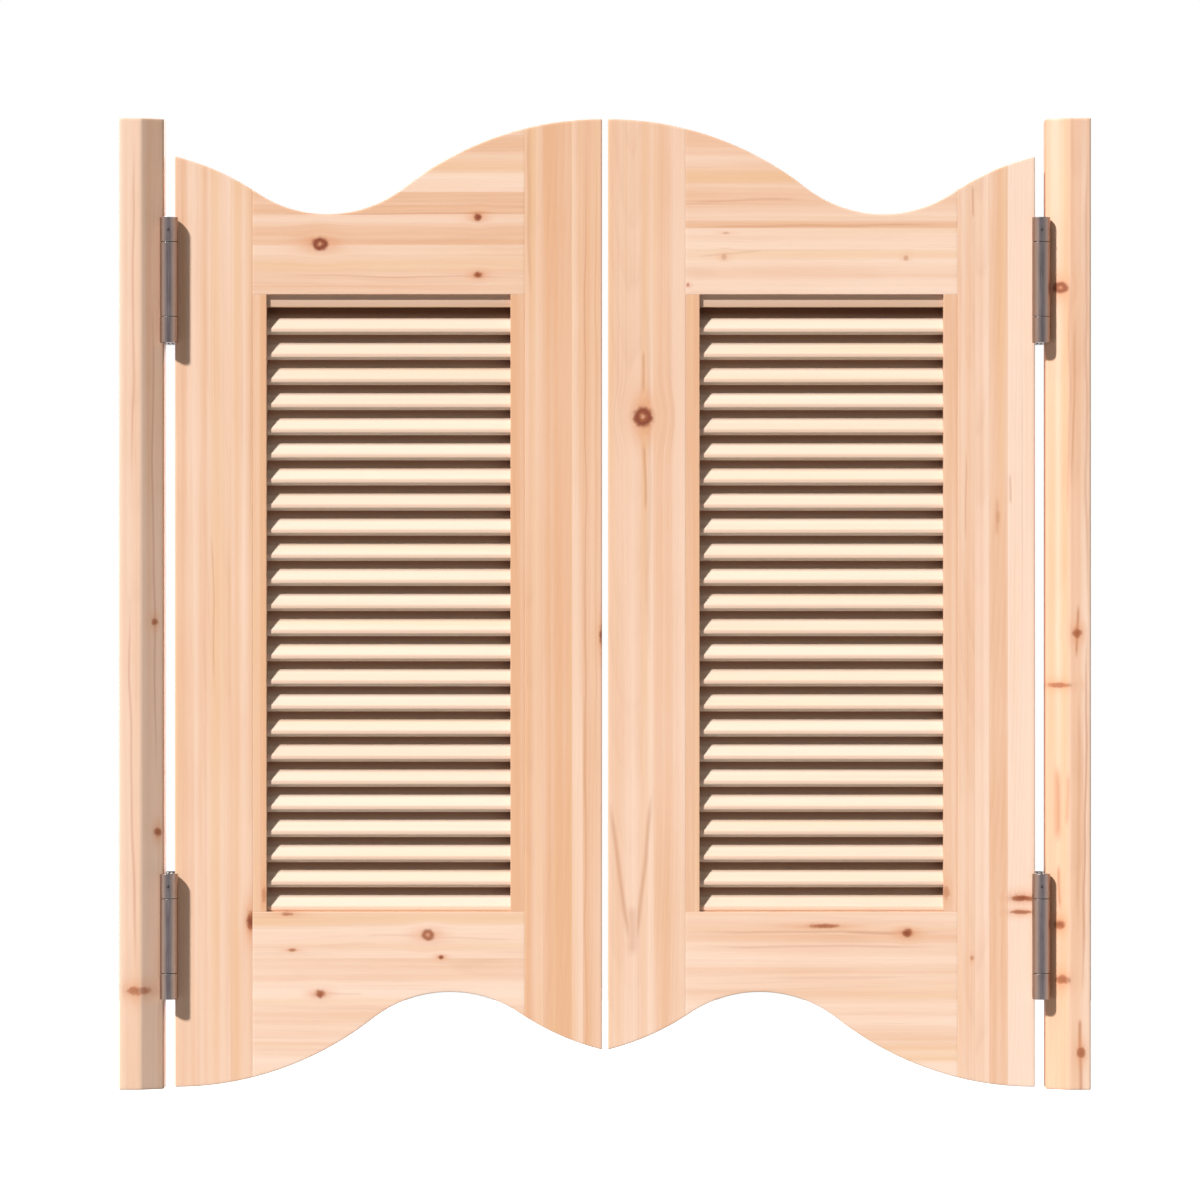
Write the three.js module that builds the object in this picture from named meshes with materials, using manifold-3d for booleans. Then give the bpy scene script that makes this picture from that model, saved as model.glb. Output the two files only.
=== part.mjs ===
// A pair of cafe swinging doors: two louvred pine leaves between two pine posts, each leaf hung on
// two double-action spring hinges, so that it swings to the front and to the back and closes itself.
// Millimetres, +Z up. X runs across the pair, the front faces -Y, and the origin is on the posts'
// feet, midway between the posts and midway through the leaves.

import * as THREE from "three";
import { mergeVertices } from "three/addons/utils/BufferGeometryUtils.js";
import Module from "manifold-3d";

const wasm = await Module();
wasm.setup();

// Posts and the gaps around the leaves
const POST_LENGTH = 970;
const POST_WIDTH = 44;
const POST_PROUD = 12; // a post stands this far past each face of the leaves
const POST_CHAMFER = 22; // width over which its two inner corners are worked off, clear of the hinges
const MEETING_GAP = 6; // between the two leaves
const HINGE_GAP = 11; // between a leaf and its post

// Leaves
const LEAF_WIDTH = 427;
const LEAF_THICKNESS = 30;
const LEAF_FOOT = 2; // lowest point of a leaf, above the posts' feet
const LEAF_TOP = POST_LENGTH; // its crest is level with the posts' heads
const STILE_WIDTH = 77.5;
const RAIL_HEIGHT = 175.25; // from the louvre opening out to the leaf's highest or lowest point
const JOINT_GAP = 0.3; // glue line between pieces of wood

// The wave of a leaf's top and bottom edges: a crest at one side, a hollow and a shoulder, as
// three arcs that run into each other. The bottom edge is the top edge turned half round.
const HOLLOW_RUN = 275; // from the crest's side of the leaf to the lowest point of the hollow
const HOLLOW_DEPTH = 95;
const HOLLOW_RADIUS = 125.5;
const SHOULDER_RADIUS = 259;
const SHOULDER_RUN = 214.5; // from the hollow to the middle of the shoulder's arc
const EDGE_STEP = 9; // length of one facet along a wave

// Mortise and tenon joints of the frame, and the tongues that hold the louvre between the stiles
const TENON_LENGTH = 50;
const TENON_THICKNESS = 10;
const TENON_WIDTH = 55;
const TENON_SETBACK = 20; // from a rail's louvre edge to its tenons
const TONGUE_THICKNESS = 8;
const TONGUE_DEPTH = 8;

// Louvre: two side strips with slats housed between them, low at the front, and a head strip that
// closes the space above the topmost slat
const STRIP_WIDTH = 14;
const HEAD_STRIP_HEIGHT = 11.6;
const HEAD_STRIP_RECESS = 4.2; // behind both faces of the leaf
const SLAT_THICKNESS = 7;
const SLAT_TILT = THREE.MathUtils.degToRad(52); // from level
const SLAT_RECESS = 2.8; // behind both faces of the leaf
const SLAT_EASE = 1.4; // flat worked on each long corner
const SLAT_PITCH = 25.15;
const SLAT_FOOT = -0.8; // the lowest slat's nose lies below the edge of the bottom rail, which trims it
const SLAT_HOUSING = 6; // how far a slat goes into a strip

// Double-action spring hinge, 125 mm (5 inch) size
const HINGE_HEIGHT = 125;
const LOWER_HINGE_RISE = 88.5; // from a leaf's lowest point to the foot of its lower hinge
const UPPER_HINGE_DROP = 99; // from a leaf's highest point to the head of its upper hinge
const BARREL_DIAMETER = 18;
const BARREL_WALL = 1.5;
const BARREL_CLEARANCE = 0.85; // from a barrel to the corners of the leaf and the post
const BARREL_SIDES = 16;
const TOP_KNUCKLE = 24.5;
const BOTTOM_KNUCKLE = 26;
const KNUCKLE_GAP = 0.8;
const PLATE_THICKNESS = 2;
const PLATE_EDGE_GAP = 0.8; // from a plate's edge to a barrel that turns beside it
const SEAT_GAP = 0.3; // from a flange to its wood, and between pieces that rest on each other

// Screw holes in a flange
const SCREW_HOLE_RADIUS = 2.4;
const SCREW_SINK_RADIUS = 4.2;
const SCREW_SINK_DEPTH = 1.7;
const SCREW_STAGGER = 6; // each side of the plate's middle
const SCREW_END = 18; // from the ends of the plate
const SCREW_ROWS = 4;
const SCREW_SIDES = 8;

// Inside each barrel: a spindle with a broad foot, a square-wire spring, a collar that winds the
// spring up, and the pin that holds the collar
const SPINDLE_RADIUS = 3;
const SPINDLE_SETBACK = 1; // below the head of the barrel
const BORE_FIT = 0.3;
const SPINDLE_SIDES = 12;
const SPRING_PLAY = 0.7; // to the spindle and to the bore
const SPRING_WIRE_HEIGHT = 3;
const WIRE_CORNERS = 4;
const SPRING_TURNS = 6;
const SPRING_TURN_STEPS = 8;
const PIN_RADIUS = 1.4;
const PIN_FIT = 0.3;
const PIN_PROUD = 3.5; // out of the barrel
const PIN_SIDES = 8;

const LEFT = { name: "left", sign: -1 };
const RIGHT = { name: "right", sign: 1 };

// Places that follow from the sizes
const LEAF_EDGE = MEETING_GAP / 2 + LEAF_WIDTH; // hinge edge of a leaf, from the middle of the pair
const POST_FACE = LEAF_EDGE + HINGE_GAP;
const HINGE_LINE = LEAF_EDGE + HINGE_GAP / 2;
const LOUVRE_LOW = LEAF_FOOT + RAIL_HEIGHT;
const LOUVRE_HIGH = LEAF_TOP - RAIL_HEIGHT;
const BARREL_RADIUS = BARREL_DIAMETER / 2;
const BORE_RADIUS = BARREL_RADIUS - BARREL_WALL;
// A barrel nests between the corners of the leaf and the post.
const BARREL_REACH =
  LEAF_THICKNESS / 2 + Math.sqrt((BARREL_RADIUS + BARREL_CLEARANCE) ** 2 - (HINGE_GAP / 2) ** 2);
const PLATE_HALF_WIDTH = BARREL_REACH - BARREL_RADIUS - PLATE_EDGE_GAP;
const KNUCKLE_LOW = BOTTOM_KNUCKLE;
const KNUCKLE_HIGH = HINGE_HEIGHT - TOP_KNUCKLE;
const CUT = 1; // cutting tools run this far past what they cut

const PINE = new THREE.MeshStandardMaterial({ color: 0xf0c8a4, roughness: 0.62, metalness: 0 });
const SLAT_PINE = new THREE.MeshStandardMaterial({ color: 0xf4d8b6, roughness: 0.6, metalness: 0 });
const SATIN_STEEL = new THREE.MeshStandardMaterial({ color: 0x7e7d80, roughness: 0.42, metalness: 1 });
const TURNED_STEEL = new THREE.MeshStandardMaterial({ color: 0x9a9a9c, roughness: 0.35, metalness: 1 });
const SPRING_STEEL = new THREE.MeshStandardMaterial({ color: 0x4a4a4e, roughness: 0.45, metalness: 1 });

// Closed geometry to a solid that can be cut and joined, and back
function toSolid(geometry) {
  const bare = geometry.clone();
  bare.deleteAttribute("normal");
  bare.deleteAttribute("uv");
  const merged = mergeVertices(bare, 1e-4);
  const mesh = new wasm.Mesh({
    numProp: 3,
    vertProperties: new Float32Array(merged.attributes.position.array),
    triVerts: new Uint32Array(merged.index.array),
  });
  return new wasm.Manifold(mesh);
}

function toGeometry(solid) {
  const mesh = solid.getMesh();
  const geometry = new THREE.BufferGeometry();
  geometry.setAttribute("position", new THREE.BufferAttribute(new Float32Array(mesh.vertProperties), 3));
  geometry.setIndex(new THREE.BufferAttribute(new Uint32Array(mesh.triVerts), 1));
  geometry.computeVertexNormals();
  return geometry;
}

function join(pieces) {
  return pieces.map(toSolid).reduce((whole, piece) => whole.add(piece));
}

function cut(solid, tools) {
  return tools.map(toSolid).reduce((left, tool) => left.subtract(tool), solid);
}

// Plain forms
function box(x0, x1, y0, y1, z0, z1) {
  const geometry = new THREE.BoxGeometry(Math.abs(x1 - x0), y1 - y0, z1 - z0);
  return geometry.translate((x0 + x1) / 2, (y0 + y1) / 2, (z0 + z1) / 2);
}

function upright(radius, z0, z1, sides) {
  const geometry = new THREE.CylinderGeometry(radius, radius, z1 - z0, sides);
  return geometry.rotateX(Math.PI / 2).translate(0, 0, (z0 + z1) / 2);
}

// A round bar from front to back
function crossbar(radius, y0, y1, z, sides) {
  const geometry = new THREE.CylinderGeometry(radius, radius, y1 - y0, sides);
  return geometry.translate(0, (y0 + y1) / 2, z);
}

function extrude(points, depth) {
  return new THREE.ExtrudeGeometry(new THREE.Shape(points), { depth, bevelEnabled: false });
}

// A board whose outline lies in the plane of the leaf, as thick as the leaf
function board(points) {
  return extrude(points, LEAF_THICKNESS)
    .rotateX(Math.PI / 2)
    .translate(0, LEAF_THICKNESS / 2, 0);
}

function piece(name, geometry, material) {
  const mesh = new THREE.Mesh(geometry, material);
  mesh.name = name;
  return mesh;
}

// How far the wave lies below its crest, at a distance from the crest's side of the leaf
function waveDepth(run) {
  const crestRadius = (HOLLOW_RUN ** 2 + HOLLOW_DEPTH ** 2) / (2 * HOLLOW_DEPTH) - HOLLOW_RADIUS;
  const crestEnd = (HOLLOW_RUN * crestRadius) / (crestRadius + HOLLOW_RADIUS);
  const reach = HOLLOW_RADIUS + SHOULDER_RADIUS;
  const hollowEnd = HOLLOW_RUN + (SHOULDER_RUN * HOLLOW_RADIUS) / reach;
  if (run < crestEnd) {
    return crestRadius - Math.sqrt(crestRadius ** 2 - run ** 2);
  }
  if (run < hollowEnd) {
    return HOLLOW_DEPTH - HOLLOW_RADIUS + Math.sqrt(HOLLOW_RADIUS ** 2 - (run - HOLLOW_RUN) ** 2);
  }
  const shoulderCentre = HOLLOW_DEPTH - HOLLOW_RADIUS + Math.sqrt(reach ** 2 - SHOULDER_RUN ** 2);
  return shoulderCentre - Math.sqrt(SHOULDER_RADIUS ** 2 - (HOLLOW_RUN + SHOULDER_RUN - run) ** 2);
}

// Along a leaf, places are given by their distance from its hinge edge.
function topEdge(along) {
  return LEAF_TOP - waveDepth(LEAF_WIDTH - along);
}

function bottomEdge(along) {
  return LEAF_FOOT + waveDepth(along);
}

function acrossPair(side, along) {
  return side.sign * (LEAF_EDGE - along);
}

function wavePoints(side, edge, from, to) {
  const steps = Math.ceil(Math.abs(to - from) / EDGE_STEP);
  return Array.from({ length: steps + 1 }, (_, i) => {
    const along = from + ((to - from) * i) / steps;
    return new THREE.Vector2(acrossPair(side, along), edge(along));
  });
}

function leafBox(side, from, to, halfDepth, z0, z1) {
  const ends = [acrossPair(side, from), acrossPair(side, to)].sort((a, b) => a - b);
  return box(ends[0], ends[1], -halfDepth, halfDepth, z0, z1);
}

// Heights of a rail's tenons
const TENON_SPANS = [
  [LOUVRE_LOW - TENON_SETBACK - TENON_WIDTH, LOUVRE_LOW - TENON_SETBACK],
  [LOUVRE_HIGH + TENON_SETBACK, LOUVRE_HIGH + TENON_SETBACK + TENON_WIDTH],
];
const BOTTOM = 0;
const TOP = 1;

function post(side) {
  const inner = side.sign * POST_FACE;
  const shoulder = side.sign * (POST_FACE + POST_CHAMFER);
  const outer = side.sign * (POST_FACE + POST_WIDTH);
  const land = LEAF_THICKNESS / 2;
  const face = land + POST_PROUD;
  const outline = [
    new THREE.Vector2(inner, -land),
    new THREE.Vector2(inner, land),
    new THREE.Vector2(shoulder, face),
    new THREE.Vector2(outer, face),
    new THREE.Vector2(outer, -face),
    new THREE.Vector2(shoulder, -face),
  ];
  return piece(`${side.name}_post`, extrude(outline, POST_LENGTH), PINE);
}

// A stile, with its two mortises and the groove that takes the louvre's tongue. The edge that has
// them is at `inner`, and `inward` points from there into the stile.
function stile(side, name, from, to, inner, inward) {
  const outline = [
    ...wavePoints(side, bottomEdge, from, to),
    ...wavePoints(side, topEdge, to, from),
  ];
  const mortiseEnd = inner + inward * (TENON_LENGTH + JOINT_GAP);
  const grooveEnd = inner + inward * (TONGUE_DEPTH + JOINT_GAP);
  const mouth = inner - inward * CUT;
  const mortiseHalf = TENON_THICKNESS / 2 + JOINT_GAP;
  const grooveHalf = TONGUE_THICKNESS / 2 + JOINT_GAP;
  const mortises = TENON_SPANS.map(([low, high]) =>
    leafBox(side, mouth, mortiseEnd, mortiseHalf, low - JOINT_GAP, high + JOINT_GAP),
  );
  const groove = leafBox(side, mouth, grooveEnd, grooveHalf, LOUVRE_LOW, LOUVRE_HIGH);
  const solid = cut(toSolid(board(outline)), [...mortises, groove]);
  return piece(`${side.name}_${name}`, toGeometry(solid), PINE);
}

// A rail between the stiles: one wavy edge, one straight edge at the louvre, a tenon at each end
function rail(side, name, edge, straight, tenonSpan) {
  const from = STILE_WIDTH + JOINT_GAP;
  const to = LEAF_WIDTH - STILE_WIDTH - JOINT_GAP;
  const outline = [
    ...wavePoints(side, edge, from, to),
    new THREE.Vector2(acrossPair(side, to), straight),
    new THREE.Vector2(acrossPair(side, from), straight),
  ];
  const tongueFrom = STILE_WIDTH - TENON_LENGTH;
  const tongueTo = LEAF_WIDTH - STILE_WIDTH + TENON_LENGTH;
  const [low, high] = tenonSpan;
  const tenons = leafBox(side, tongueFrom, tongueTo, TENON_THICKNESS / 2, low, high);
  return piece(`${side.name}_${name}`, toGeometry(join([board(outline), tenons])), PINE);
}

// A slat fills the depth between its recesses.
const SLAT_SIN = Math.sin(SLAT_TILT);
const SLAT_COS = Math.cos(SLAT_TILT);
const SLAT_WIDTH = (LEAF_THICKNESS - 2 * SLAT_RECESS - SLAT_THICKNESS * SLAT_SIN) / SLAT_COS;
const SLAT_RISE = SLAT_WIDTH * SLAT_SIN + SLAT_THICKNESS * SLAT_COS;

// Outline of one slat across its length, seen from the side: depth and height
function slatOutline(noseHeight) {
  const noseDepth = SLAT_RECESS - LEAF_THICKNESS / 2 + SLAT_THICKNESS * SLAT_SIN;
  const corners = [
    [SLAT_EASE, 0],
    [SLAT_WIDTH - SLAT_EASE, 0],
    [SLAT_WIDTH, SLAT_EASE],
    [SLAT_WIDTH, SLAT_THICKNESS - SLAT_EASE],
    [SLAT_WIDTH - SLAT_EASE, SLAT_THICKNESS],
    [SLAT_EASE, SLAT_THICKNESS],
    [0, SLAT_THICKNESS - SLAT_EASE],
    [0, SLAT_EASE],
  ];
  return corners.map(([along, up]) =>
    new THREE.Vector2(
      noseDepth + along * SLAT_COS - up * SLAT_SIN,
      noseHeight + along * SLAT_SIN + up * SLAT_COS,
    ),
  );
}

// The louvre, glued up as one insert: side strips with tongues, the head strip, and as many slats
// as fit below the rail, the topmost let into the head strip
function louvre(side) {
  const low = LOUVRE_LOW + JOINT_GAP;
  const high = LOUVRE_HIGH - JOINT_GAP;
  const strips = [0, 1].flatMap((end) => {
    const place = (along) => (end ? LEAF_WIDTH - along : along);
    const outer = place(STILE_WIDTH + JOINT_GAP);
    const inner = place(STILE_WIDTH + STRIP_WIDTH);
    const tongueEnd = place(STILE_WIDTH - TONGUE_DEPTH);
    return [
      leafBox(side, outer, inner, LEAF_THICKNESS / 2, low, high),
      leafBox(side, tongueEnd, inner, TONGUE_THICKNESS / 2, low, high),
    ];
  });
  const headFrom = STILE_WIDTH + STRIP_WIDTH / 2;
  const headLow = high - HEAD_STRIP_HEIGHT;
  const headHalf = LEAF_THICKNESS / 2 - HEAD_STRIP_RECESS;
  strips.push(leafBox(side, headFrom, LEAF_WIDTH - headFrom, headHalf, headLow, high));
  const slatFrom = STILE_WIDTH + STRIP_WIDTH - SLAT_HOUSING;
  const slatLength = LEAF_WIDTH - 2 * slatFrom;
  const slatStart = Math.min(acrossPair(side, slatFrom), acrossPair(side, LEAF_WIDTH - slatFrom));
  const lengthwise = new THREE.Matrix4().makeBasis(
    new THREE.Vector3(0, 1, 0),
    new THREE.Vector3(0, 0, 1),
    new THREE.Vector3(1, 0, 0),
  );
  const count = Math.floor((high - SLAT_RISE - LOUVRE_LOW - SLAT_FOOT) / SLAT_PITCH) + 1;
  const slats = Array.from({ length: count }, (_, i) =>
    extrude(slatOutline(LOUVRE_LOW + SLAT_FOOT + i * SLAT_PITCH), slatLength)
      .applyMatrix4(lengthwise)
      .translate(slatStart, 0, 0),
  );
  const opening = leafBox(side, STILE_WIDTH, LEAF_WIDTH - STILE_WIDTH, LEAF_THICKNESS, low, high);
  const solid = join(slats).intersect(toSolid(opening)).add(join(strips));
  return piece(`${side.name}_louvre`, toGeometry(solid), SLAT_PINE);
}

function leaf(side) {
  const group = new THREE.Group();
  const meetingInner = LEAF_WIDTH - STILE_WIDTH;
  group.add(
    stile(side, "hinge_stile", 0, STILE_WIDTH, STILE_WIDTH, -1),
    stile(side, "meeting_stile", meetingInner, LEAF_WIDTH, meetingInner, 1),
    rail(side, "top_rail", topEdge, LOUVRE_HIGH, TENON_SPANS[TOP]),
    rail(side, "bottom_rail", bottomEdge, LOUVRE_LOW, TENON_SPANS[BOTTOM]),
    louvre(side),
  );
  return group;
}

// The hinge has its own frame: the post is towards -X, the leaf towards +X, its foot is at Z = 0.
// One half is a flange with what its barrel holds, and its barrel is in front of the wood. The
// half on the leaf is the same half turned round, so its barrel is behind the wood.
function flangeGeometry() {
  const back = SEAT_GAP - HINGE_GAP / 2;
  const face = back + PLATE_THICKNESS;
  const zones = [
    [0, KNUCKLE_LOW - KNUCKLE_GAP / 2],
    [KNUCKLE_HIGH + KNUCKLE_GAP / 2, HINGE_HEIGHT],
  ];
  const plate = box(back, face, -PLATE_HALF_WIDTH, PLATE_HALF_WIDTH, 0, HINGE_HEIGHT);
  const necks = zones.map(([low, high]) =>
    box(back, face, -BARREL_REACH, -PLATE_HALF_WIDTH + CUT, low, high),
  );
  const knuckles = zones.map(([low, high]) =>
    upright(BARREL_RADIUS, low, high, BARREL_SIDES).translate(0, -BARREL_REACH, 0),
  );
  const bore = upright(BORE_RADIUS, -CUT, HINGE_HEIGHT + CUT, BARREL_SIDES).translate(0, -BARREL_REACH, 0);
  const pinHole = crossbar(
    PIN_RADIUS + PIN_FIT,
    -BARREL_REACH - BARREL_RADIUS - CUT,
    -BARREL_REACH,
    pinHeight(),
    PIN_SIDES,
  );
  const tools = [bore, pinHole, ...screwHoles(back)];
  return toGeometry(cut(join([plate, ...necks, ...knuckles]), tools));
}

function pinHeight() {
  return HINGE_HEIGHT - TOP_KNUCKLE / 2;
}

// Countersunk holes, staggered up the plate, with their wide mouths away from the wood
function screwHoles(plateBack) {
  const sink = PLATE_THICKNESS - SCREW_SINK_DEPTH;
  const profile = [
    new THREE.Vector2(0, -CUT),
    new THREE.Vector2(SCREW_HOLE_RADIUS, -CUT),
    new THREE.Vector2(SCREW_HOLE_RADIUS, sink),
    new THREE.Vector2(SCREW_SINK_RADIUS, PLATE_THICKNESS),
    new THREE.Vector2(SCREW_SINK_RADIUS, PLATE_THICKNESS + CUT),
    new THREE.Vector2(0, PLATE_THICKNESS + CUT),
  ];
  const spacing = (HINGE_HEIGHT - 2 * SCREW_END) / (SCREW_ROWS - 1);
  return Array.from({ length: SCREW_ROWS }, (_, i) => {
    const across = i % 2 ? SCREW_STAGGER : -SCREW_STAGGER;
    return new THREE.LatheGeometry(profile, SCREW_SIDES)
      .rotateZ(-Math.PI / 2)
      .translate(plateBack, across, SCREW_END + i * spacing);
  });
}

// The web joins the two barrels by their middle lengths and lies between the two flanges.
function webGeometry() {
  const low = KNUCKLE_LOW + KNUCKLE_GAP / 2;
  const high = KNUCKLE_HIGH - KNUCKLE_GAP / 2;
  const half = PLATE_THICKNESS / 2;
  const plate = box(-half, half, -PLATE_HALF_WIDTH, PLATE_HALF_WIDTH, 0, HINGE_HEIGHT);
  const bridge = box(-half, half, -BARREL_REACH, BARREL_REACH, low, high);
  const places = [-BARREL_REACH, BARREL_REACH];
  const tubes = places.map((y) => upright(BARREL_RADIUS, low, high, BARREL_SIDES).translate(0, y, 0));
  const bores = places.map((y) =>
    upright(BORE_RADIUS, low - CUT, high + CUT, BARREL_SIDES).translate(0, y, 0),
  );
  return toGeometry(cut(join([plate, bridge, ...tubes]), bores));
}

// Heights inside a barrel, from the spindle's foot up
const FOOT_TOP = KNUCKLE_LOW - KNUCKLE_GAP;
const COLLAR_LOW = KNUCKLE_HIGH + KNUCKLE_GAP;
const COLLAR_HIGH = HINGE_HEIGHT - SPINDLE_SETBACK;
const SPRING_LOW = FOOT_TOP + SEAT_GAP;
const SPRING_HIGH = COLLAR_LOW - SEAT_GAP;

function spindleGeometry() {
  const foot = BORE_RADIUS - BORE_FIT;
  const profile = [
    new THREE.Vector2(0, 0),
    new THREE.Vector2(foot, 0),
    new THREE.Vector2(foot, FOOT_TOP),
    new THREE.Vector2(SPINDLE_RADIUS, FOOT_TOP),
    new THREE.Vector2(SPINDLE_RADIUS, COLLAR_HIGH),
    new THREE.Vector2(0, COLLAR_HIGH),
  ];
  return new THREE.LatheGeometry(profile, SPINDLE_SIDES).rotateX(Math.PI / 2);
}

// A collar with holes right through it both ways, one of which takes the pin
function collarGeometry() {
  const outer = BORE_RADIUS - BORE_FIT;
  const drill = crossbar(PIN_RADIUS + PIN_FIT, -outer - CUT, outer + CUT, pinHeight(), PIN_SIDES);
  const across = drill.clone().rotateZ(Math.PI / 2);
  const bore = upright(SPINDLE_RADIUS + BORE_FIT, COLLAR_LOW - CUT, COLLAR_HIGH + CUT, SPINDLE_SIDES);
  const blank = toSolid(upright(outer, COLLAR_LOW, COLLAR_HIGH, SPINDLE_SIDES));
  return toGeometry(cut(blank, [bore, drill, across]));
}

function pinGeometry() {
  const tip = -BARREL_RADIUS - PIN_PROUD;
  const root = -SPINDLE_RADIUS - 2 * BORE_FIT;
  return crossbar(PIN_RADIUS, tip, root, pinHeight(), PIN_SIDES);
}

// A square-wire spring: the wire's section is carried up a helix as one unbroken bar.
function springGeometry() {
  const inner = SPINDLE_RADIUS + SPRING_PLAY;
  const outer = BORE_RADIUS - SPRING_PLAY;
  const steps = SPRING_TURNS * SPRING_TURN_STEPS;
  const climb = SPRING_HIGH - SPRING_LOW - SPRING_WIRE_HEIGHT;
  const positions = [];
  for (let i = 0; i <= steps; i++) {
    const turn = (2 * Math.PI * i) / SPRING_TURN_STEPS;
    const low = SPRING_LOW + (climb * i) / steps;
    const high = low + SPRING_WIRE_HEIGHT;
    const section = [[inner, low], [outer, low], [outer, high], [inner, high]];
    for (const [radius, z] of section) {
      positions.push(radius * Math.cos(turn), radius * Math.sin(turn), z);
    }
  }
  const index = [0, 1, 2, 0, 2, 3];
  for (let i = 0; i < steps; i++) {
    for (let c = 0; c < WIRE_CORNERS; c++) {
      const a = i * WIRE_CORNERS + c;
      const b = i * WIRE_CORNERS + ((c + 1) % WIRE_CORNERS);
      index.push(a, a + WIRE_CORNERS, b, b, a + WIRE_CORNERS, b + WIRE_CORNERS);
    }
  }
  const last = steps * WIRE_CORNERS;
  index.push(last, last + 2, last + 1, last, last + 3, last + 2);
  const geometry = new THREE.BufferGeometry();
  geometry.setAttribute("position", new THREE.Float32BufferAttribute(positions, 3));
  geometry.setIndex(index);
  geometry.computeVertexNormals();
  return geometry;
}

// Least gap between a spring's neighbouring coils, measured on the points of its wire
function leastCoilGap(geometry) {
  const points = geometry.attributes.position;
  const turn = SPRING_TURN_STEPS * WIRE_CORNERS;
  const topCorner = WIRE_CORNERS - 1;
  const gaps = [];
  for (let i = 0; i + turn + topCorner < points.count; i += WIRE_CORNERS) {
    gaps.push(points.getZ(i + turn) - points.getZ(i + topCorner));
  }
  return Math.min(...gaps);
}

const FLANGE = flangeGeometry();
const WEB = webGeometry();
const SPINDLE = spindleGeometry();
const COLLAR = collarGeometry();
const PIN = pinGeometry();
const SPRING = springGeometry();
console.log(`least gap between spring coils: ${leastCoilGap(SPRING).toFixed(2)} mm`);

function hingeHalf(prefix, carrier) {
  const half = new THREE.Group();
  const barrel = new THREE.Group();
  barrel.position.y = -BARREL_REACH;
  barrel.add(
    piece(`${prefix}_${carrier}_spindle`, SPINDLE, TURNED_STEEL),
    piece(`${prefix}_${carrier}_spring`, SPRING, SPRING_STEEL),
    piece(`${prefix}_${carrier}_collar`, COLLAR, TURNED_STEEL),
    piece(`${prefix}_${carrier}_tension_pin`, PIN, TURNED_STEEL),
  );
  half.add(piece(`${prefix}_${carrier}_flange`, FLANGE, SATIN_STEEL), barrel);
  return half;
}

// The right hinges are the left ones turned half round, so their barrels change places too.
function hinge(side, name, foot) {
  const prefix = `${side.name}_${name}`;
  const group = new THREE.Group();
  const leafHalf = hingeHalf(prefix, "leaf");
  leafHalf.rotation.z = Math.PI;
  group.add(hingeHalf(prefix, "post"), leafHalf, piece(`${prefix}_web`, WEB, SATIN_STEEL));
  group.position.set(side.sign * HINGE_LINE, 0, foot);
  group.rotation.z = side === RIGHT ? Math.PI : 0;
  return group;
}

const doors = new THREE.Group();
for (const side of [LEFT, RIGHT]) {
  doors.add(
    post(side),
    leaf(side),
    hinge(side, "lower", LEAF_FOOT + LOWER_HINGE_RISE),
    hinge(side, "upper", LEAF_TOP - UPPER_HINGE_DROP - HINGE_HEIGHT),
  );
}

export default doors;
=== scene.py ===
# %% [markdown]
# A pair of cafe swinging doors in pale pine. Each leaf is a frame of two stiles and two rails with
# wavy outer edges, filled with a louvre of tilted slats, and it hangs from its post on two
# double-action spring hinges. The packed frame gives the place of every piece, and the pieces that
# show are made again here with eased edges, grain and wear.

# %% Load the frame and keep its box
import math

import bpy
import numpy as np
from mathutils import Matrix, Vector


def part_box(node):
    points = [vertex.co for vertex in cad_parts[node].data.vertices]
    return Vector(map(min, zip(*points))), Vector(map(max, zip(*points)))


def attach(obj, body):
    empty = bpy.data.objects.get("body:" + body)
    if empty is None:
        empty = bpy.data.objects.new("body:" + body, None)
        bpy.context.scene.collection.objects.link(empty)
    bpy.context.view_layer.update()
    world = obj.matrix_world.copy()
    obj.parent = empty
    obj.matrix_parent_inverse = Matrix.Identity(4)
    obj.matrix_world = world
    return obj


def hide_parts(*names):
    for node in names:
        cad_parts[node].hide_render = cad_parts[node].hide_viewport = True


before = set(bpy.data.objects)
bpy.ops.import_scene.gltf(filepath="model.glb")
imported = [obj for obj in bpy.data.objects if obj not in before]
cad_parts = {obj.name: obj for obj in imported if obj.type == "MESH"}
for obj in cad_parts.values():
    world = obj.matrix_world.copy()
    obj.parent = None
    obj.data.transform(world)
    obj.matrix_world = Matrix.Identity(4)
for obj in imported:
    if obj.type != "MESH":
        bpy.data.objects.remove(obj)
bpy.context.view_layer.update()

# %% [markdown]
# Every new piece is a grid of points: a closed section carried along a path in steps. Neighbouring
# points make the quads, the two end sections are closed by one flat face each, and a path that
# returns to its start needs no end faces. The sign of the enclosed volume tells which way the faces
# look, so a grid can be laid out in either sense and still come out with its faces outward.


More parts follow.
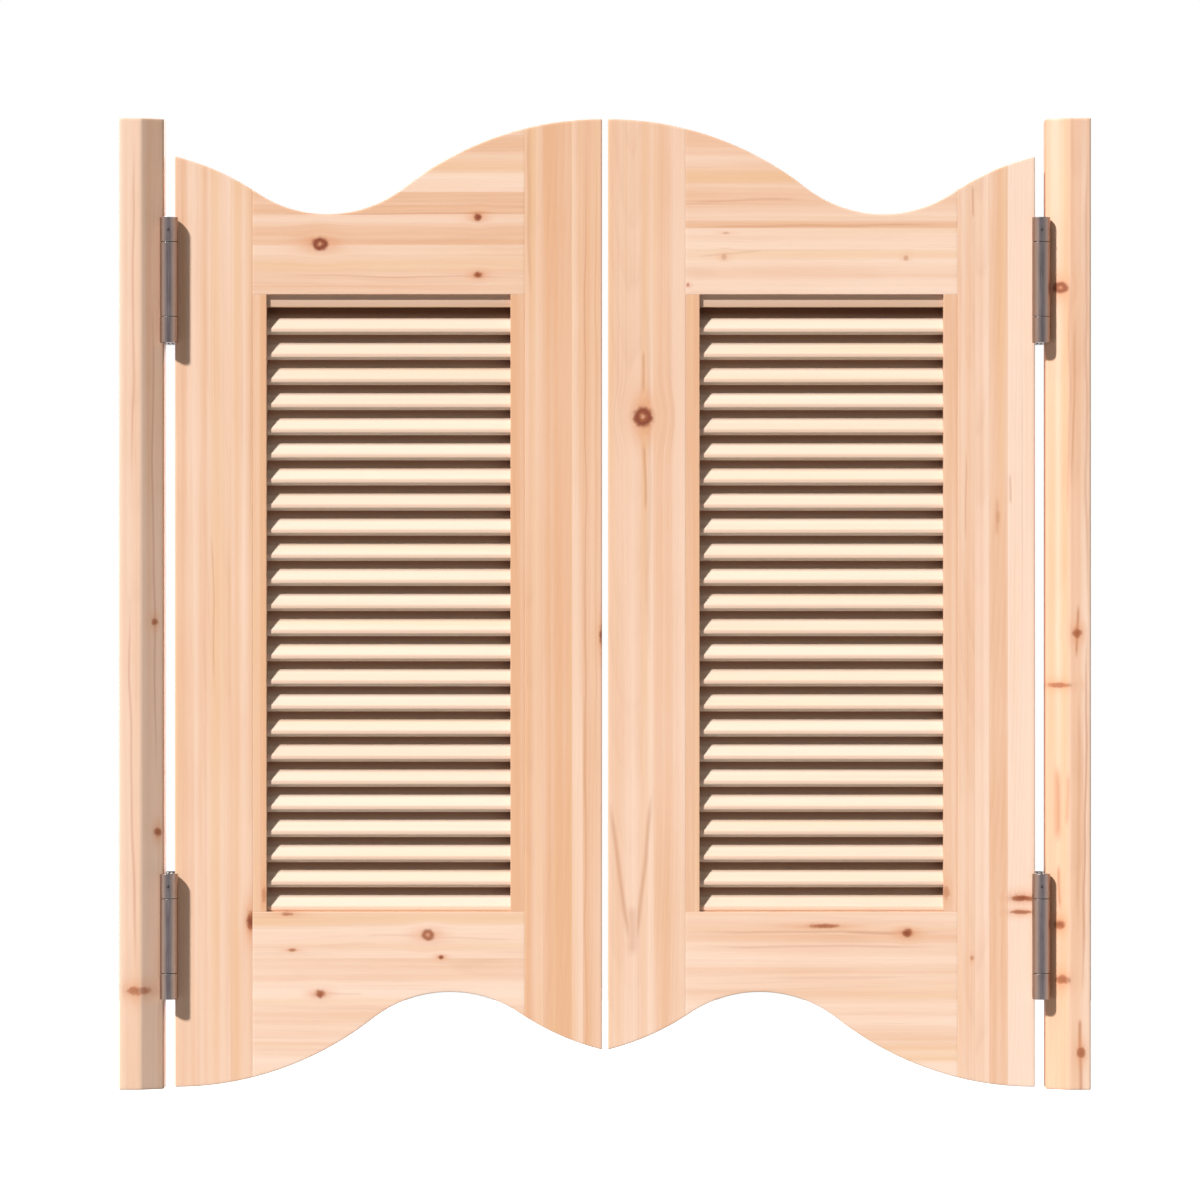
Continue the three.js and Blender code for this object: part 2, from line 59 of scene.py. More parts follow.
# %% Skin a grid
def skin(rows, wear, loop=False):
    """Shell over a grid of points, steps x places x 3. Quad (i, j) has the corners (i, j), (i, j+1),
    (i+1, j+1) and (i+1, j), and j runs round the closed section. Six times the volume is the sum of
    a . (b x c) over triangles with corners a, b and c. `wear` is a value for each point."""
    steps, places = rows.shape[:2]
    number = np.arange(steps * places).reshape(steps, places)
    beside = np.roll(number, -1, axis=1)
    quads = np.stack([number, beside, np.roll(beside, -1, axis=0), np.roll(number, -1, axis=0)], axis=-1)
    caps = np.stack([number[0, ::-1], number[-1]])
    if loop:
        caps = caps[:0]
    else:
        quads = quads[:-1]
    quads = quads.reshape(-1, 4)
    hubs = np.repeat(caps[:, :1], places - 2, axis=1)
    fans = np.stack([hubs, caps[:, 1:-1], caps[:, 2:]], axis=-1).reshape(-1, 3)
    points = rows.reshape(-1, 3)
    triangles = np.concatenate([quads[:, [0, 1, 2]], quads[:, [0, 2, 3]], fans])
    a, b, c = (points[triangles] - points.mean(axis=0)).transpose(1, 0, 2)
    if np.einsum("ij,ij->", a, np.cross(b, c)) < 0:
        quads = quads[:, ::-1]
        caps = caps[:, ::-1]
    wear = np.broadcast_to(wear, (steps, places)).ravel()
    return {"points": points, "quads": quads, "caps": caps, "wear": wear}


print("a section of 4 points in 2 steps has", len(skin(np.zeros((2, 4, 3)), 0.0)["quads"]), "quads")

# %% [markdown]
# One object holds all the shells of a piece, such as the slats of a louvre, or the plate and the
# knuckles of a flange. Two values are kept on every point: how much it is worn, and the number of its
# shell, by which a finish can give each slat a tone of its own. The piece rides on the body that
# carries it, takes the finish it is given, and stands in for the frame's plain solids.


# %% Make a piece
def make_piece(name, shells, material, body, slot, *nodes, numbers=None):
    """One object from closed shells: the points of all shells in a row, with each shell's faces
    counted on from the points before it. The quads are shaded smooth and the end faces flat."""
    counts = [len(shell["points"]) for shell in shells]
    starts = np.cumsum([0] + counts[:-1])
    quads = [(shell["quads"] + start).tolist() for shell, start in zip(shells, starts)]
    caps = [(shell["caps"] + start).tolist() for shell, start in zip(shells, starts)]
    faces = sum(quads, []) + sum(caps, [])
    mesh = bpy.data.meshes.new(name)
    mesh.from_pydata(np.concatenate([shell["points"] for shell in shells]).tolist(), [], faces)
    mesh.polygons.foreach_set("use_smooth", np.arange(len(faces)) < sum(map(len, quads)))
    if numbers is None:
        numbers = range(len(shells))
    values = {
        "wear": np.concatenate([shell["wear"] for shell in shells]),
        "number": np.repeat(np.array(numbers, float), counts),
    }
    for key, value in values.items():
        mesh.attributes.new(key, "FLOAT", "POINT").data.foreach_set("value", value.astype(np.float32))
    mesh.materials.append(material)
    piece = bpy.data.objects.new(name, mesh)
    bpy.context.scene.collection.objects.link(piece)
    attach(piece, body)
    if nodes:
        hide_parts(*nodes)


print("ready to make pieces for", len(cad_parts), "nodes")

# %% [markdown]
# Planed timber and stamped steel both have eased edges, and the highlight along them is what tells
# a board from a drawn outline. A section is given by its sharp corners. Each corner becomes a short
# curve, and a point is kept just outside each curve so that smooth shading stays on the curve and
# the flats stay flat.

# %% Sections with eased corners
CORNER_STEPS = 3
CORNER_WEAR = np.array([0.0, 0.6, 1.0, 1.0, 0.6, 0.0])
UNIT_SQUARE = np.array([(0.0, 0.0), (1.0, 0.0), (1.0, 1.0), (0.0, 1.0)])


def corner_directions(corners):
    """Unit vectors from each corner of a closed outline to the corner before it and after it."""
    before = np.roll(corners, 1, axis=-2) - corners
    after = np.roll(corners, -1, axis=-2) - corners
    before = before / np.linalg.norm(before, axis=-1, keepdims=True)
    after = after / np.linalg.norm(after, axis=-1, keepdims=True)
    return before, after


def inset(corners, by):
    """The outline moved inward by a distance: each corner goes along both of its edges by the
    distance over the sine of the corner's angle."""
    before, after = corner_directions(corners)
    sine = np.abs(before[..., 0] * after[..., 1] - before[..., 1] * after[..., 0])
    return corners + (before + after) * (by / sine)[..., None]


def eased(corners, ease, hold):
    """Each corner C becomes the curve C + ease ((1-t)^2 b + t^2 a), t from 0 to 1, where b and a
    point to the corners before and after. A point follows `hold` further out on either side."""
    before, after = corner_directions(corners)
    before = before[..., None, :]
    after = after[..., None, :]
    middle = corners[..., None, :]
    ease = ease[..., None, None]
    t = np.linspace(0, 1, CORNER_STEPS + 1)[:, None]
    curve = middle + ease * ((1 - t) ** 2 * before + t**2 * after)
    outside = ease + hold
    points = np.concatenate([middle + outside * before, curve, middle + outside * after], axis=-2)
    return points.reshape(*corners.shape[:-2], -1, 2)


print("a square with eased corners has", len(eased(UNIT_SQUARE, np.full(4, 0.1), 0.1)), "points")

# %% [markdown]
# A board is its section carried along its length. At both ends the section shrinks in a quarter
# round, and its corners get tighter there, as when a sanding block goes round all edges of a board.
# The end of a jointed board is eased by so little that it stays sharp to the eye.

# %% Carry a section along a board
EASE_LOSS = 0.7
LEAST_EASE = 0.2


def carry(axis, start, end, corners_at, ease, ends, hold, stations=2):
    """A section carried along X (axis 0) or Z (axis 2). `corners_at` gives its corners at each place.
    At an end of ease e, for the angles a of a quarter turn, the section has shrunk by e (1 - cos a)
    at the distance e (1 - sin a) from the end, and its corners lose a share of that shrinking."""
    quarter = np.linspace(0, np.pi / 2, CORNER_STEPS + 1)
    first = start + ends[0] * (1 - np.sin(quarter[::-1]))
    last = end - ends[1] * (1 - np.sin(quarter))
    middle = np.linspace(first[-1] + hold, last[0] - hold, stations)
    places = np.concatenate([first, middle, last])
    shrink = np.concatenate([
        ends[0] * (1 - np.cos(quarter[::-1])), np.zeros(stations), ends[1] * (1 - np.cos(quarter)),
    ])
    corners = inset(corners_at(places), shrink[:, None])
    soft = np.atleast_1d(ease)[None, :] - EASE_LOSS * shrink[:, None]
    soft = np.maximum(soft, LEAST_EASE * np.min(ease))
    ring = eased(corners, np.broadcast_to(soft, corners.shape[:2]), hold)
    along = np.broadcast_to(places[:, None, None], (*ring.shape[:2], 1))
    rows = np.concatenate([along, ring] if axis == 0 else [ring, along], axis=-1)
    wear = np.maximum(np.tile(CORNER_WEAR, corners.shape[1])[None, :], (shrink > 0)[:, None])
    return skin(rows, wear)


def steady(corners):
    """The same corners at every place."""
    corners = np.array(corners, float)
    return lambda places: np.broadcast_to(corners, (len(places), *corners.shape))


SQUARE_BAR = carry(2, 0.0, 1.0, steady(UNIT_SQUARE), 0.1, (0.1, 0.1), 0.1)
print("a square bar with eased edges has", len(SQUARE_BAR["points"]), "points")

# %% [markdown]
# A finish is written as a formula over the surface. Each value in it is a socket of the node tree,
# and a small wrapper lets sockets be added and multiplied like numbers, so that the recipe for the
# wood reads as arithmetic on lengths in metres.


# %% Fields for materials
class Field:
    """A number that varies over a surface: one output socket of a material's node tree."""

    def __init__(self, tree, socket):
        self.tree = tree
        self.socket = socket

    def math(self, operation, *others):
        """This field and other values put through one Math node."""
        node = self.tree.nodes.new("ShaderNodeMath")
        node.operation = operation
        for socket, value in zip(node.inputs, (self, *others)):
            connect(self.tree, value, socket)
        return Field(self.tree, node.outputs[0])

    def __add__(self, other):
        return self.math("ADD", other)

    def __sub__(self, other):
        return self.math("SUBTRACT", other)

    def __mul__(self, other):
        return self.math("MULTIPLY", other)

    def __truediv__(self, other):
        return self.math("DIVIDE", other)

    def __pow__(self, other):
        return self.math("POWER", other)

    def __abs__(self):
        return self.math("ABSOLUTE")

    def most(self, other):
        """The larger of two values."""
        return self.math("MAXIMUM", other)

    def hypot(self, other):
        """The square root of a^2 + b^2."""
        return (self * self + other * other).math("SQRT")

    def step(self, low, high):
        """0 below `low`, 1 above `high`, and a smooth rise between them."""
        node = self.tree.nodes.new("ShaderNodeMapRange")
        node.interpolation_type = "SMOOTHSTEP"
        connect(self.tree, self, node.inputs[0])
        node.inputs[1].default_value = low
        node.inputs[2].default_value = high
        return Field(self.tree, node.outputs[0])

    def fall(self, low, high):
        """1 below `low`, 0 above `high`, and a smooth fall between them."""
        return (self * -1.0).step(-high, -low)

    def bell(self, width):
        """exp(-(value / width)^2)"""
        scaled = self / width
        return (scaled * scaled * -1.0).math("EXPONENT")


def connect(tree, value, socket):
    """Feeds a field into a socket, or sets the socket to a number."""
    if isinstance(value, Field):
        tree.links.new(value.socket, socket)
    else:
        socket.default_value = value


print("a field has", ", ".join(name for name in vars(Field) if not name.startswith("_")))

# %% [markdown]
# The other nodes of a finish get one small function each: smooth noise, a value kept on the points,
# a blend of colours and the relief of the surface. Everything starts from the place on the object in
# metres, so a pattern keeps its scale on every piece and runs through a board from face to face.


# %% Nodes of a finish
def noise(tree, parts, fineness, detail=2.0, seed=0.0):
    """Smooth noise about 0.5. `parts` are three lengths, `fineness` the features per metre of each,
    and the seed shifts the pattern along the first."""
    first, second, third = (part * fine for part, fine in zip(parts, fineness))
    combine = tree.nodes.new("ShaderNodeCombineXYZ")
    for socket, value in zip(combine.inputs, (first + seed, second, third)):
        connect(tree, value, socket)
    node = tree.nodes.new("ShaderNodeTexNoise")
    tree.links.new(combine.outputs[0], node.inputs["Vector"])
    node.inputs["Scale"].default_value = 1.0
    node.inputs["Detail"].default_value = detail
    return Field(tree, node.outputs[0])


def attribute(tree, name):
    """A value that is kept on the points of the mesh."""
    node = tree.nodes.new("ShaderNodeAttribute")
    node.attribute_name = name
    return Field(tree, node.outputs["Fac"])


def blend(tree, share, first, second):
    """(1 - share) first + share second; each colour is a field or three numbers."""
    node = tree.nodes.new("ShaderNodeMix")
    node.data_type = "RGBA"
    connect(tree, share, node.inputs[0])
    for socket, colour in ((node.inputs[6], first), (node.inputs[7], second)):
        connect(tree, colour if isinstance(colour, Field) else (*colour, 1.0), socket)
    return Field(tree, node.outputs[2])


def layered(tree, colour, layers):
    """A ground colour with further colours laid over it in turn, each by its share."""
    for share, layer in layers:
        colour = blend(tree, share, colour, layer)
    return colour


def new_material(name):
    """A material, its node tree, its shader, and the place on the object as three fields."""
    material = bpy.data.materials.new(name)
    material.use_nodes = True
    tree = material.node_tree
    split = tree.nodes.new("ShaderNodeSeparateXYZ")
    tree.links.new(tree.nodes.new("ShaderNodeTexCoord").outputs["Object"], split.inputs[0])
    place = [Field(tree, output) for output in split.outputs]
    return material, tree, tree.nodes["Principled BSDF"], place


RELIEF_STRENGTH = 0.3


def add_relief(tree, shader, height, distance):
    """Tilts the surface as if it rose by the height times a distance in metres."""
    node = tree.nodes.new("ShaderNodeBump")
    connect(tree, height, node.inputs["Height"])
    node.inputs["Distance"].default_value = distance
    node.inputs["Strength"].default_value = RELIEF_STRENGTH
    tree.links.new(node.outputs["Normal"], shader.inputs["Normal"])


print("materials before the first finish:", len(bpy.data.materials))

# %% [markdown]
# Pine is pale between its growth rings and orange-brown on their late edges. Sapwood is nearly
# cream, heartwood pinker, and in places resin has turned the wood amber. The slats are of plainer,
# yellower wood than the frame. Their front and back edges are painted redder, a painted stand-in
# for warm light bounced into their shade. The head strip is painted darker, a painted shade from
# the top rail. The other tones are those of the wood in plain white light.

# %% Tones of the pine
PINE_LIGHT = (0.980, 0.727, 0.570)
PINE_DEEP = (0.822, 0.456, 0.260)
PINE_LATE = (0.54, 0.245, 0.130)
PINE_AMBER = (0.860, 0.530, 0.270)
SLAT_LIGHT = (0.775, 0.640, 0.513)
SLAT_DEEP = (0.725, 0.545, 0.405)
# Painted bounce light: a warmer tone on the slats' front and back edges, in their shade.
SLAT_EDGE_PAINTED_BOUNCE = (0.860, 0.600, 0.445)
# Head strip tones: painted darker, a painted shade cast by the top rail above it.
HEAD_SHADED_LIGHT = (0.72, 0.50, 0.37)
HEAD_SHADED_DEEP = (0.62, 0.38, 0.25)
# Painted shade: the dark brown laid deep in the louvre gaps and on the strips' inner faces.
LOUVRE_PAINTED_SHADE = (0.220, 0.104, 0.058)
RESIN = (0.52, 0.185, 0.075)
KNOT_HALO = (0.74, 0.260, 0.090)
KNOT_CORE = (0.47, 0.140, 0.040)
KNOT_RIM = (0.190, 0.030, 0.010)
KNOT_EYE = (0.66, 0.36, 0.24)
print("frame pine from", PINE_LIGHT, "to", PINE_DEEP)

# %% [markdown]
# A knot is a branch cut across. Small ones are dark all through, and large ones are darkest in a
# ring round a paler eye. The wood about a knot is stained in a halo that is drawn out along the
# grain, and the growth rings give way to it. A knot could be a small disc of its own, but as a field
# it grows into the board. It is written as its place in x and z, its half width and half height, all
# in millimetres, and how dark it is.

# %% Knots
MILLIMETRE = 0.001
KNOT_GRAIN = (210.0, 60.0, 210.0)
LARGE_KNOT = 5.4
LARGE_ROUGHNESS = 0.5
SMALL_ROUGHNESS = 0.9
CORE_FALL = (0.6, 1.15)
EYE_FALL = (0.05, 0.34)
RING_PLACE = 0.62
RING_WIDTH = 0.36
SMALL_RIM_WIDTH = 0.8
RIM_POWER = 3
HALO_STRETCH = 1.9
HALO_ROUGHNESS = 0.5
HALO_WIDTH = 1.3
PUSH_SHARE = 0.62
PUSH_WIDTH = 2.4


def knot_fields(tree, place, upright, knots):
    """Shares of a knot's core, rim, halo and eye at each point, and how far the rings give way. d is
    the distance from the knot in units of its half sizes, roughened by noise. The core falls off
    about d = 1, and the rim is a bell about d = 0 or, on a large knot, about its ring. The halo is a
    bell of the same distance, shortened along the grain."""
    x, y, z = place
    rough = noise(tree, place, KNOT_GRAIN) - 0.5
    core = rim = halo = eye = x * 0.0
    push_x = push_z = x * 0.0
    stretch_x, stretch_z = (1.0, HALO_STRETCH) if upright else (HALO_STRETCH, 1.0)
    for at_x, at_z, half_x, half_z, dark in knots:
        off_x = x - at_x * MILLIMETRE
        off_z = z - at_z * MILLIMETRE
        across = off_x / (half_x * MILLIMETRE)
        up = off_z / (half_z * MILLIMETRE)
        if min(half_x, half_z) >= LARGE_KNOT:
            distance = across.hypot(up) + rough * LARGE_ROUGHNESS
            rim = rim.most((distance - RING_PLACE).bell(RING_WIDTH) * dark**RIM_POWER)
            eye = eye.most(distance.fall(*EYE_FALL) * dark)
        else:
            distance = across.hypot(up) + rough * SMALL_ROUGHNESS
            rim = rim.most(distance.bell(SMALL_RIM_WIDTH) * dark**RIM_POWER)
        core = core.most(distance.fall(*CORE_FALL) * dark)
        wing = (across / stretch_x).hypot(up / stretch_z) + rough * HALO_ROUGHNESS
        halo = halo.most(wing.bell(HALO_WIDTH) * dark)
        near = distance.bell(PUSH_WIDTH) * (PUSH_SHARE * min(half_x, half_z) / max(half_x, half_z))
        push_x = push_x + off_x * near
        push_z = push_z + off_z * near
    return core, rim, halo, eye, push_x, push_z


print("a knot shows an eye from", 2 * LARGE_KNOT, "mm across")

# %% [markdown]
# Growth rings are cylinders about the heart of the trunk. A board is sawn somewhere beside the heart,
# so the rings are distances from a slanting heart line behind the face: near it they make long
# pointed arches, and off to the side straight stripes. Resin streaks are thin dark lines along the
# grain. Each is written by its two ends, across and along the grain, its width in millimetres and how
# dark it is.

# %% Growth rings and resin streaks
SWAY_GRAIN = (2.2, 9.0, 9.0)
SWAY = 0.010
WOBBLE_GRAIN = (9.0, 60.0, 60.0)
WOBBLE = 0.0024
LATE_POWER = 2.0
LATE_FALL = (0.82, 1.0)
STREAK_GRAIN = (9.0, 15.0, 0.0)
STREAK_SWAY = 0.007
STREAK_FALL = (0.6, 1.05)


def ring_field(tree, along, across, depth, heart, seed):
    """Late edge of the rings. `heart` gives how far the heart line lies to the side and behind the
    face in mm, how much it nears the face per length, and the ring's width. The distance from it is
    counted in ring widths, and darkness grows as the square of the part of a ring gone through."""
    side, behind, slant, width = heart
    sway = noise(tree, (along, across, depth), SWAY_GRAIN, 1.0, seed) - 0.5
    wobble = noise(tree, (along, across, depth), WOBBLE_GRAIN, 1.0, seed) - 0.5
    off = across - side * MILLIMETRE + sway * SWAY
    down = depth - behind * MILLIMETRE + along * slant
    radius = off.hypot(down) + wobble * WOBBLE
    part = (radius / (width * MILLIMETRE)).math("FRACT")
    return part**LATE_POWER * part.fall(*LATE_FALL)


def streak_field(tree, along, across, streaks, seed):
    """Darkness of the resin streaks: a bell of the distance from the line between a streak's two
    ends, swayed a little, that fades out toward the ends."""
    sway = (noise(tree, (along, across, along), STREAK_GRAIN, 1.0, seed) - 0.5) * STREAK_SWAY
    total = along * 0.0
    for start_across, start, end_across, end, width, dark in streaks:
        slope = (end_across - start_across) / (end - start)
        middle = (start + end) / 2
        half = abs(end - start) / 2
        off = across + sway - (along - start * MILLIMETRE) * slope - start_across * MILLIMETRE
        toward_end = abs((along - middle * MILLIMETRE) / (half * MILLIMETRE))
        total = total.most(off.bell(width * MILLIMETRE) * toward_end.fall(*STREAK_FALL) * dark)
    return total


print("a streak fades over the last", round(1 - STREAK_FALL[0], 2), "of its half length")

# %% [markdown]
# Wide members are glued up from strips of different tone, so the tone and the figure change at each
# glue line. The slats are cut from many boards: each gets a tone and a piece of grain by its number.
# Both could be separate materials, but as fields one recipe serves every board.

# %% Strips and numbers
GLUE_HALF = 0.6
STRIP_JUMP = 0.37
NUMBER_JUMP = 0.71
SCATTER_TURN = 12.9898
SCATTER_SIZE = 43758.5453


def strip_fields(along, across, strips, tones):
    """Tone and jump of the grain: the first strip's tone, and at each glue line in mm a step to the
    next strip's tone and a further jump."""
    tone = along * 0.0 + tones[0]
    jump = along * 0.0
    for edge, before, after in zip(strips, tones, tones[1:]):
        beyond = across.step((edge - GLUE_HALF) * MILLIMETRE, (edge + GLUE_HALF) * MILLIMETRE)
        tone = tone + beyond * (after - before)
        jump = jump + beyond * STRIP_JUMP
    return tone, jump


def number_fields(tree, spread, seed):
    """Tone and jump of a numbered shell n: the tone is scattered by the fraction of a large number
    times sin(turn n + seed), and the jump is in proportion to n."""
    number = attribute(tree, "number")
    scatter = ((number * SCATTER_TURN + seed).math("SINE") * SCATTER_SIZE).math("FRACT")
    return (scatter - 0.5) * spread, number * NUMBER_JUMP


print("the figure jumps by", STRIP_JUMP, "m from strip to strip")

# %% [markdown]
# Apart from the rings, the look of pine comes from bands, lines and fibres of every width, all drawn
# out along the grain. Each is noise with its own fineness along, across and into the board. The soft
# clouds over them are stains in the surface, so they don't bend round the knots as the grain does.

# %% Bands, lines and fibres
BROAD_GRAIN = (0.5, 40.0, 14.0)
BAND_GRAIN = (1.0, 150.0, 60.0)
LINE_GRAIN = (1.8, 430.0, 430.0)
FIBRE_GRAIN = (45.0, 1300.0, 1300.0)
AMBER_GRAIN = (0.8, 70.0, 20.0)
CLOUD_GRAIN = (5.0, 11.0, 8.0)
AMBER_SEED = 3.0


def grain_fields(tree, along, bent, across, depth, seed):
    """Noise of each fineness, by the lengths along the grain, across it and into the board."""
    grain = (along, bent, depth)
    broad = noise(tree, grain, BROAD_GRAIN, 2.0, seed)
    bands = noise(tree, grain, BAND_GRAIN, 3.0, seed)
    lines = noise(tree, grain, LINE_GRAIN, 2.0, seed)
    fibre = noise(tree, grain, FIBRE_GRAIN)
    amber = noise(tree, grain, AMBER_GRAIN, 1.0, seed * AMBER_SEED)
    cloud = noise(tree, (along, across, depth), CLOUD_GRAIN, 2.0, seed)
    return broad, bands, lines, fibre, amber, cloud


print("fibres lie", round(1000 / FIBRE_GRAIN[1], 2), "mm apart")

# %% [markdown]
# Planed pine is laid up in layers: the tone of the strip with broad and narrow bands in it, the late
# edges of the rings, thin dark lines, amber patches, resin and knots, and last the paler wood where
# edges are rubbed. Softer and harder wood also differ in gloss and stand a trace higher or lower.

# %% Planed pine
SIDE_JUMP = 0.031
BROAD_RISE = (0.34, 0.66)
CLOUD_RISE = (0.30, 0.70)
TONE_RISE = (-0.25, 1.25)
RING_RISE = (0.40, 0.62)
LINE_RISE = (0.58, 0.80)
LINE_PATCH_RISE = (0.35, 0.65)
AMBER_RISE = (0.50, 0.72)
BROAD_SHARE = 0.50
BAND_SHARE = 0.95
CLOUD_SHARE = 0.50
RING_LEAST, RING_MORE = 0.02, 0.14
RING_PALE, RING_STRONG = 0.15, 0.85
FIBRE_MEAN, FIBRE_SHARE = 0.42, 0.20
LINE_SHARE = 0.30
AMBER_SHARE = 0.45
HALO_SHARE, CORE_SHARE, RIM_SHARE, EYE_SHARE = 0.60, 0.88, 0.90, 0.75
WORN_SHARE = 0.25
PLAIN_ROUGHNESS, BAND_ROUGHNESS, FIBRE_ROUGHNESS, KNOT_POLISH = 0.44, 0.16, 0.1, 0.1
RING_RELIEF, FIBRE_RELIEF, KNOT_RELIEF, RESIN_RELIEF = 0.3, 0.5, 0.6, 0.05
GRAIN_DEPTH = 0.0003


def pine(name, upright, strips, tones, knots=(), streaks=(), heart=(0.0, 90.0, 0.03, 4.0), seed=0.0,
         light=PINE_LIGHT, deep=PINE_DEEP, figure=1.0, spread=0.0, overlay=None):
    """Planed pine. `strips` are the glue lines across the grain in mm and `tones` the depth of colour
    between them, from `light` to `deep`. `figure` is the strength of the grain, `spread` how much
    the tone differs between numbered shells, and `overlay` gives further layers for one piece."""
    material, tree, shader, place = new_material(name)
    x, y, z = place
    core, rim, halo, eye, push_x, push_z = knot_fields(tree, place, upright, knots)
    along, across = (z, x) if upright else (x, z)
    bent = across - (push_x if upright else push_z)
    resin = streak_field(tree, along, across, streaks, seed)
    tone, jump = strip_fields(along, across, strips, tones)
    if spread:
        scatter, number_jump = number_fields(tree, spread, seed)
        tone = tone + scatter
        jump = jump + number_jump
    along = along + jump
    bent = bent + jump * SIDE_JUMP
    rings = ring_field(tree, along, bent, y, heart, seed)
    broad, bands, lines, fibre, amber, cloud = grain_fields(tree, along, bent, across, y, seed)
    tone = tone + (broad.step(*BROAD_RISE) - 0.5) * BROAD_SHARE
    tone = tone + (bands - 0.5) * BAND_SHARE + (cloud - 0.5) * CLOUD_SHARE
    patches = cloud.step(*CLOUD_RISE)
    ring_share = (patches * RING_MORE + RING_LEAST) * (broad.step(*RING_RISE) * RING_STRONG + RING_PALE)
    line_share = lines.step(*LINE_RISE) * cloud.step(*LINE_PATCH_RISE)
    layers = [
        (rings * ring_share * figure + (fibre - FIBRE_MEAN) * FIBRE_SHARE, PINE_LATE),
        (line_share * (LINE_SHARE * figure), PINE_LATE),
        (amber.step(*AMBER_RISE) * (AMBER_SHARE * figure), PINE_AMBER),
        (resin, RESIN),
        (halo * HALO_SHARE, KNOT_HALO),
        (core * CORE_SHARE, KNOT_CORE),
        (rim * RIM_SHARE, KNOT_RIM),
        (eye * EYE_SHARE, KNOT_EYE),
        (attribute(tree, "wear") * patches * WORN_SHARE, light),
    ]
    if overlay is not None:
        layers.extend(overlay(tree, place))
    colour = layered(tree, blend(tree, tone.step(*TONE_RISE), light, deep), layers)
    connect(tree, colour, shader.inputs["Base Color"])
    rough = bands * BAND_ROUGHNESS + PLAIN_ROUGHNESS + fibre * FIBRE_ROUGHNESS - core * KNOT_POLISH
    connect(tree, rough, shader.inputs["Roughness"])
    relief = rings * RING_RELIEF + fibre * FIBRE_RELIEF + core * KNOT_RELIEF - resin * RESIN_RELIEF
    add_relief(tree, shader, relief, GRAIN_DEPTH)
    return material


print("pine recipe ready, roughness about", PLAIN_ROUGHNESS + (BAND_ROUGHNESS + FIBRE_ROUGHNESS) / 2)

# %% [markdown]
# The wave that shapes the top and bottom of each leaf is three arcs that run into each other: a
# crest at the meeting stile, a hollow, and a shoulder at the hinge stile. It would be sawn to a
# pattern with the frame glued up, so one formula gives the edge of all three boards. The bottom edge
# is the top edge turned half round.

# %% The wave of the leaves
LEFT_LOW, LEFT_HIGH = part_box("left_hinge_stile")
MEETING_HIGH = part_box("left_meeting_stile")[1]
LEAF_EDGE = -LEFT_LOW.x
LEAF_GAP = -MEETING_HIGH.x
STILE_WIDTH = LEFT_HIGH.x - LEFT_LOW.x
LEAF_HALF = LEFT_HIGH.y
LEAF_TOP = MEETING_HIGH.z
LEAF_FOOT = LEFT_LOW.z
HOLLOW_RUN = 0.275
HOLLOW_DEPTH = 0.095
HOLLOW_RADIUS = 0.1255
SHOULDER_RADIUS = 0.259
SHOULDER_RUN = 0.2145


def wave_depth(run):
    """How far the edge lies below its crest, at a distance from the crest's side of the leaf: a
    circle for the crest up to where it meets the hollow's circle, then that, then the shoulder's."""
    crest_radius = (HOLLOW_RUN**2 + HOLLOW_DEPTH**2) / (2 * HOLLOW_DEPTH) - HOLLOW_RADIUS
    crest_end = HOLLOW_RUN * crest_radius / (crest_radius + HOLLOW_RADIUS)
    reach = HOLLOW_RADIUS + SHOULDER_RADIUS
    hollow_end = HOLLOW_RUN + SHOULDER_RUN * HOLLOW_RADIUS / reach
    hollow_centre = HOLLOW_DEPTH - HOLLOW_RADIUS
    shoulder_centre = hollow_centre + math.sqrt(reach**2 - SHOULDER_RUN**2)
    past = run - HOLLOW_RUN
    crest = crest_radius - np.sqrt(np.maximum(crest_radius**2 - run**2, 0))
    hollow = hollow_centre + np.sqrt(np.maximum(HOLLOW_RADIUS**2 - past**2, 0))
    shoulder = shoulder_centre - np.sqrt(np.maximum(SHOULDER_RADIUS**2 - (SHOULDER_RUN - past) ** 2, 0))
    return np.where(run < crest_end, crest, np.where(run < hollow_end, hollow, shoulder))


def top_edge(x):
    """The leaf's top less the depth of the wave, counted from the meeting stile."""
    return LEAF_TOP - wave_depth(np.abs(x) - LEAF_GAP)


def bottom_edge(x):
    """The leaf's foot plus the depth of the wave, counted from the hinge stile."""
    return LEAF_FOOT + wave_depth(LEAF_EDGE - np.abs(x))


print("wave: crest and hollow at", top_edge(np.array([LEAF_GAP, LEAF_GAP + HOLLOW_RUN])))

# %% [markdown]
# The stiles run the full height with upright grain, and the rails lie between them with level
# grain. Their faces are flush, so only a hair line and the turn of the grain show the joints. A
# board is a rectangle, leaf thickness by the height between two edge curves, carried across the
# leaf; its outer arrises are eased and its jointed ends nearly sharp.

# %% Shape of the frame boards
LOUVRE_LOW, LOUVRE_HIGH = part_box("left_louvre")
LOUVRE_FIT = 0.0003
RAIL_LOW = LOUVRE_LOW.z - LOUVRE_FIT
RAIL_HIGH = LOUVRE_HIGH.z + LOUVRE_FIT
JOINT_END = LEAF_EDGE - STILE_WIDTH
MEETING_END = LEAF_GAP + STILE_WIDTH
ARRIS = 0.0010
JOINT_ARRIS = 0.00008
SEAM = 0.00003
BOARD_HOLD = 0.002


def frame_board(start, end, low, high, ease, ends, stations):
    """Corners at each place x: the two faces at plus and minus half the leaf's thickness, from the
    lower edge curve to the upper one. `ease` is that of the lower and of the upper edge."""
    def corners_at(x):
        half = np.full_like(x, LEAF_HALF)
        bottom = low(x)
        top = high(x)
        return np.stack([
            np.stack([-half, bottom], -1), np.stack([half, bottom], -1),
            np.stack([half, top], -1), np.stack([-half, top], -1),
        ], axis=1)
    return carry(0, start, end, corners_at, np.repeat(ease, 2), ends, BOARD_HOLD, stations)


def level(height):
    """An edge at the same height all along."""
    return lambda x: np.full_like(x, height)


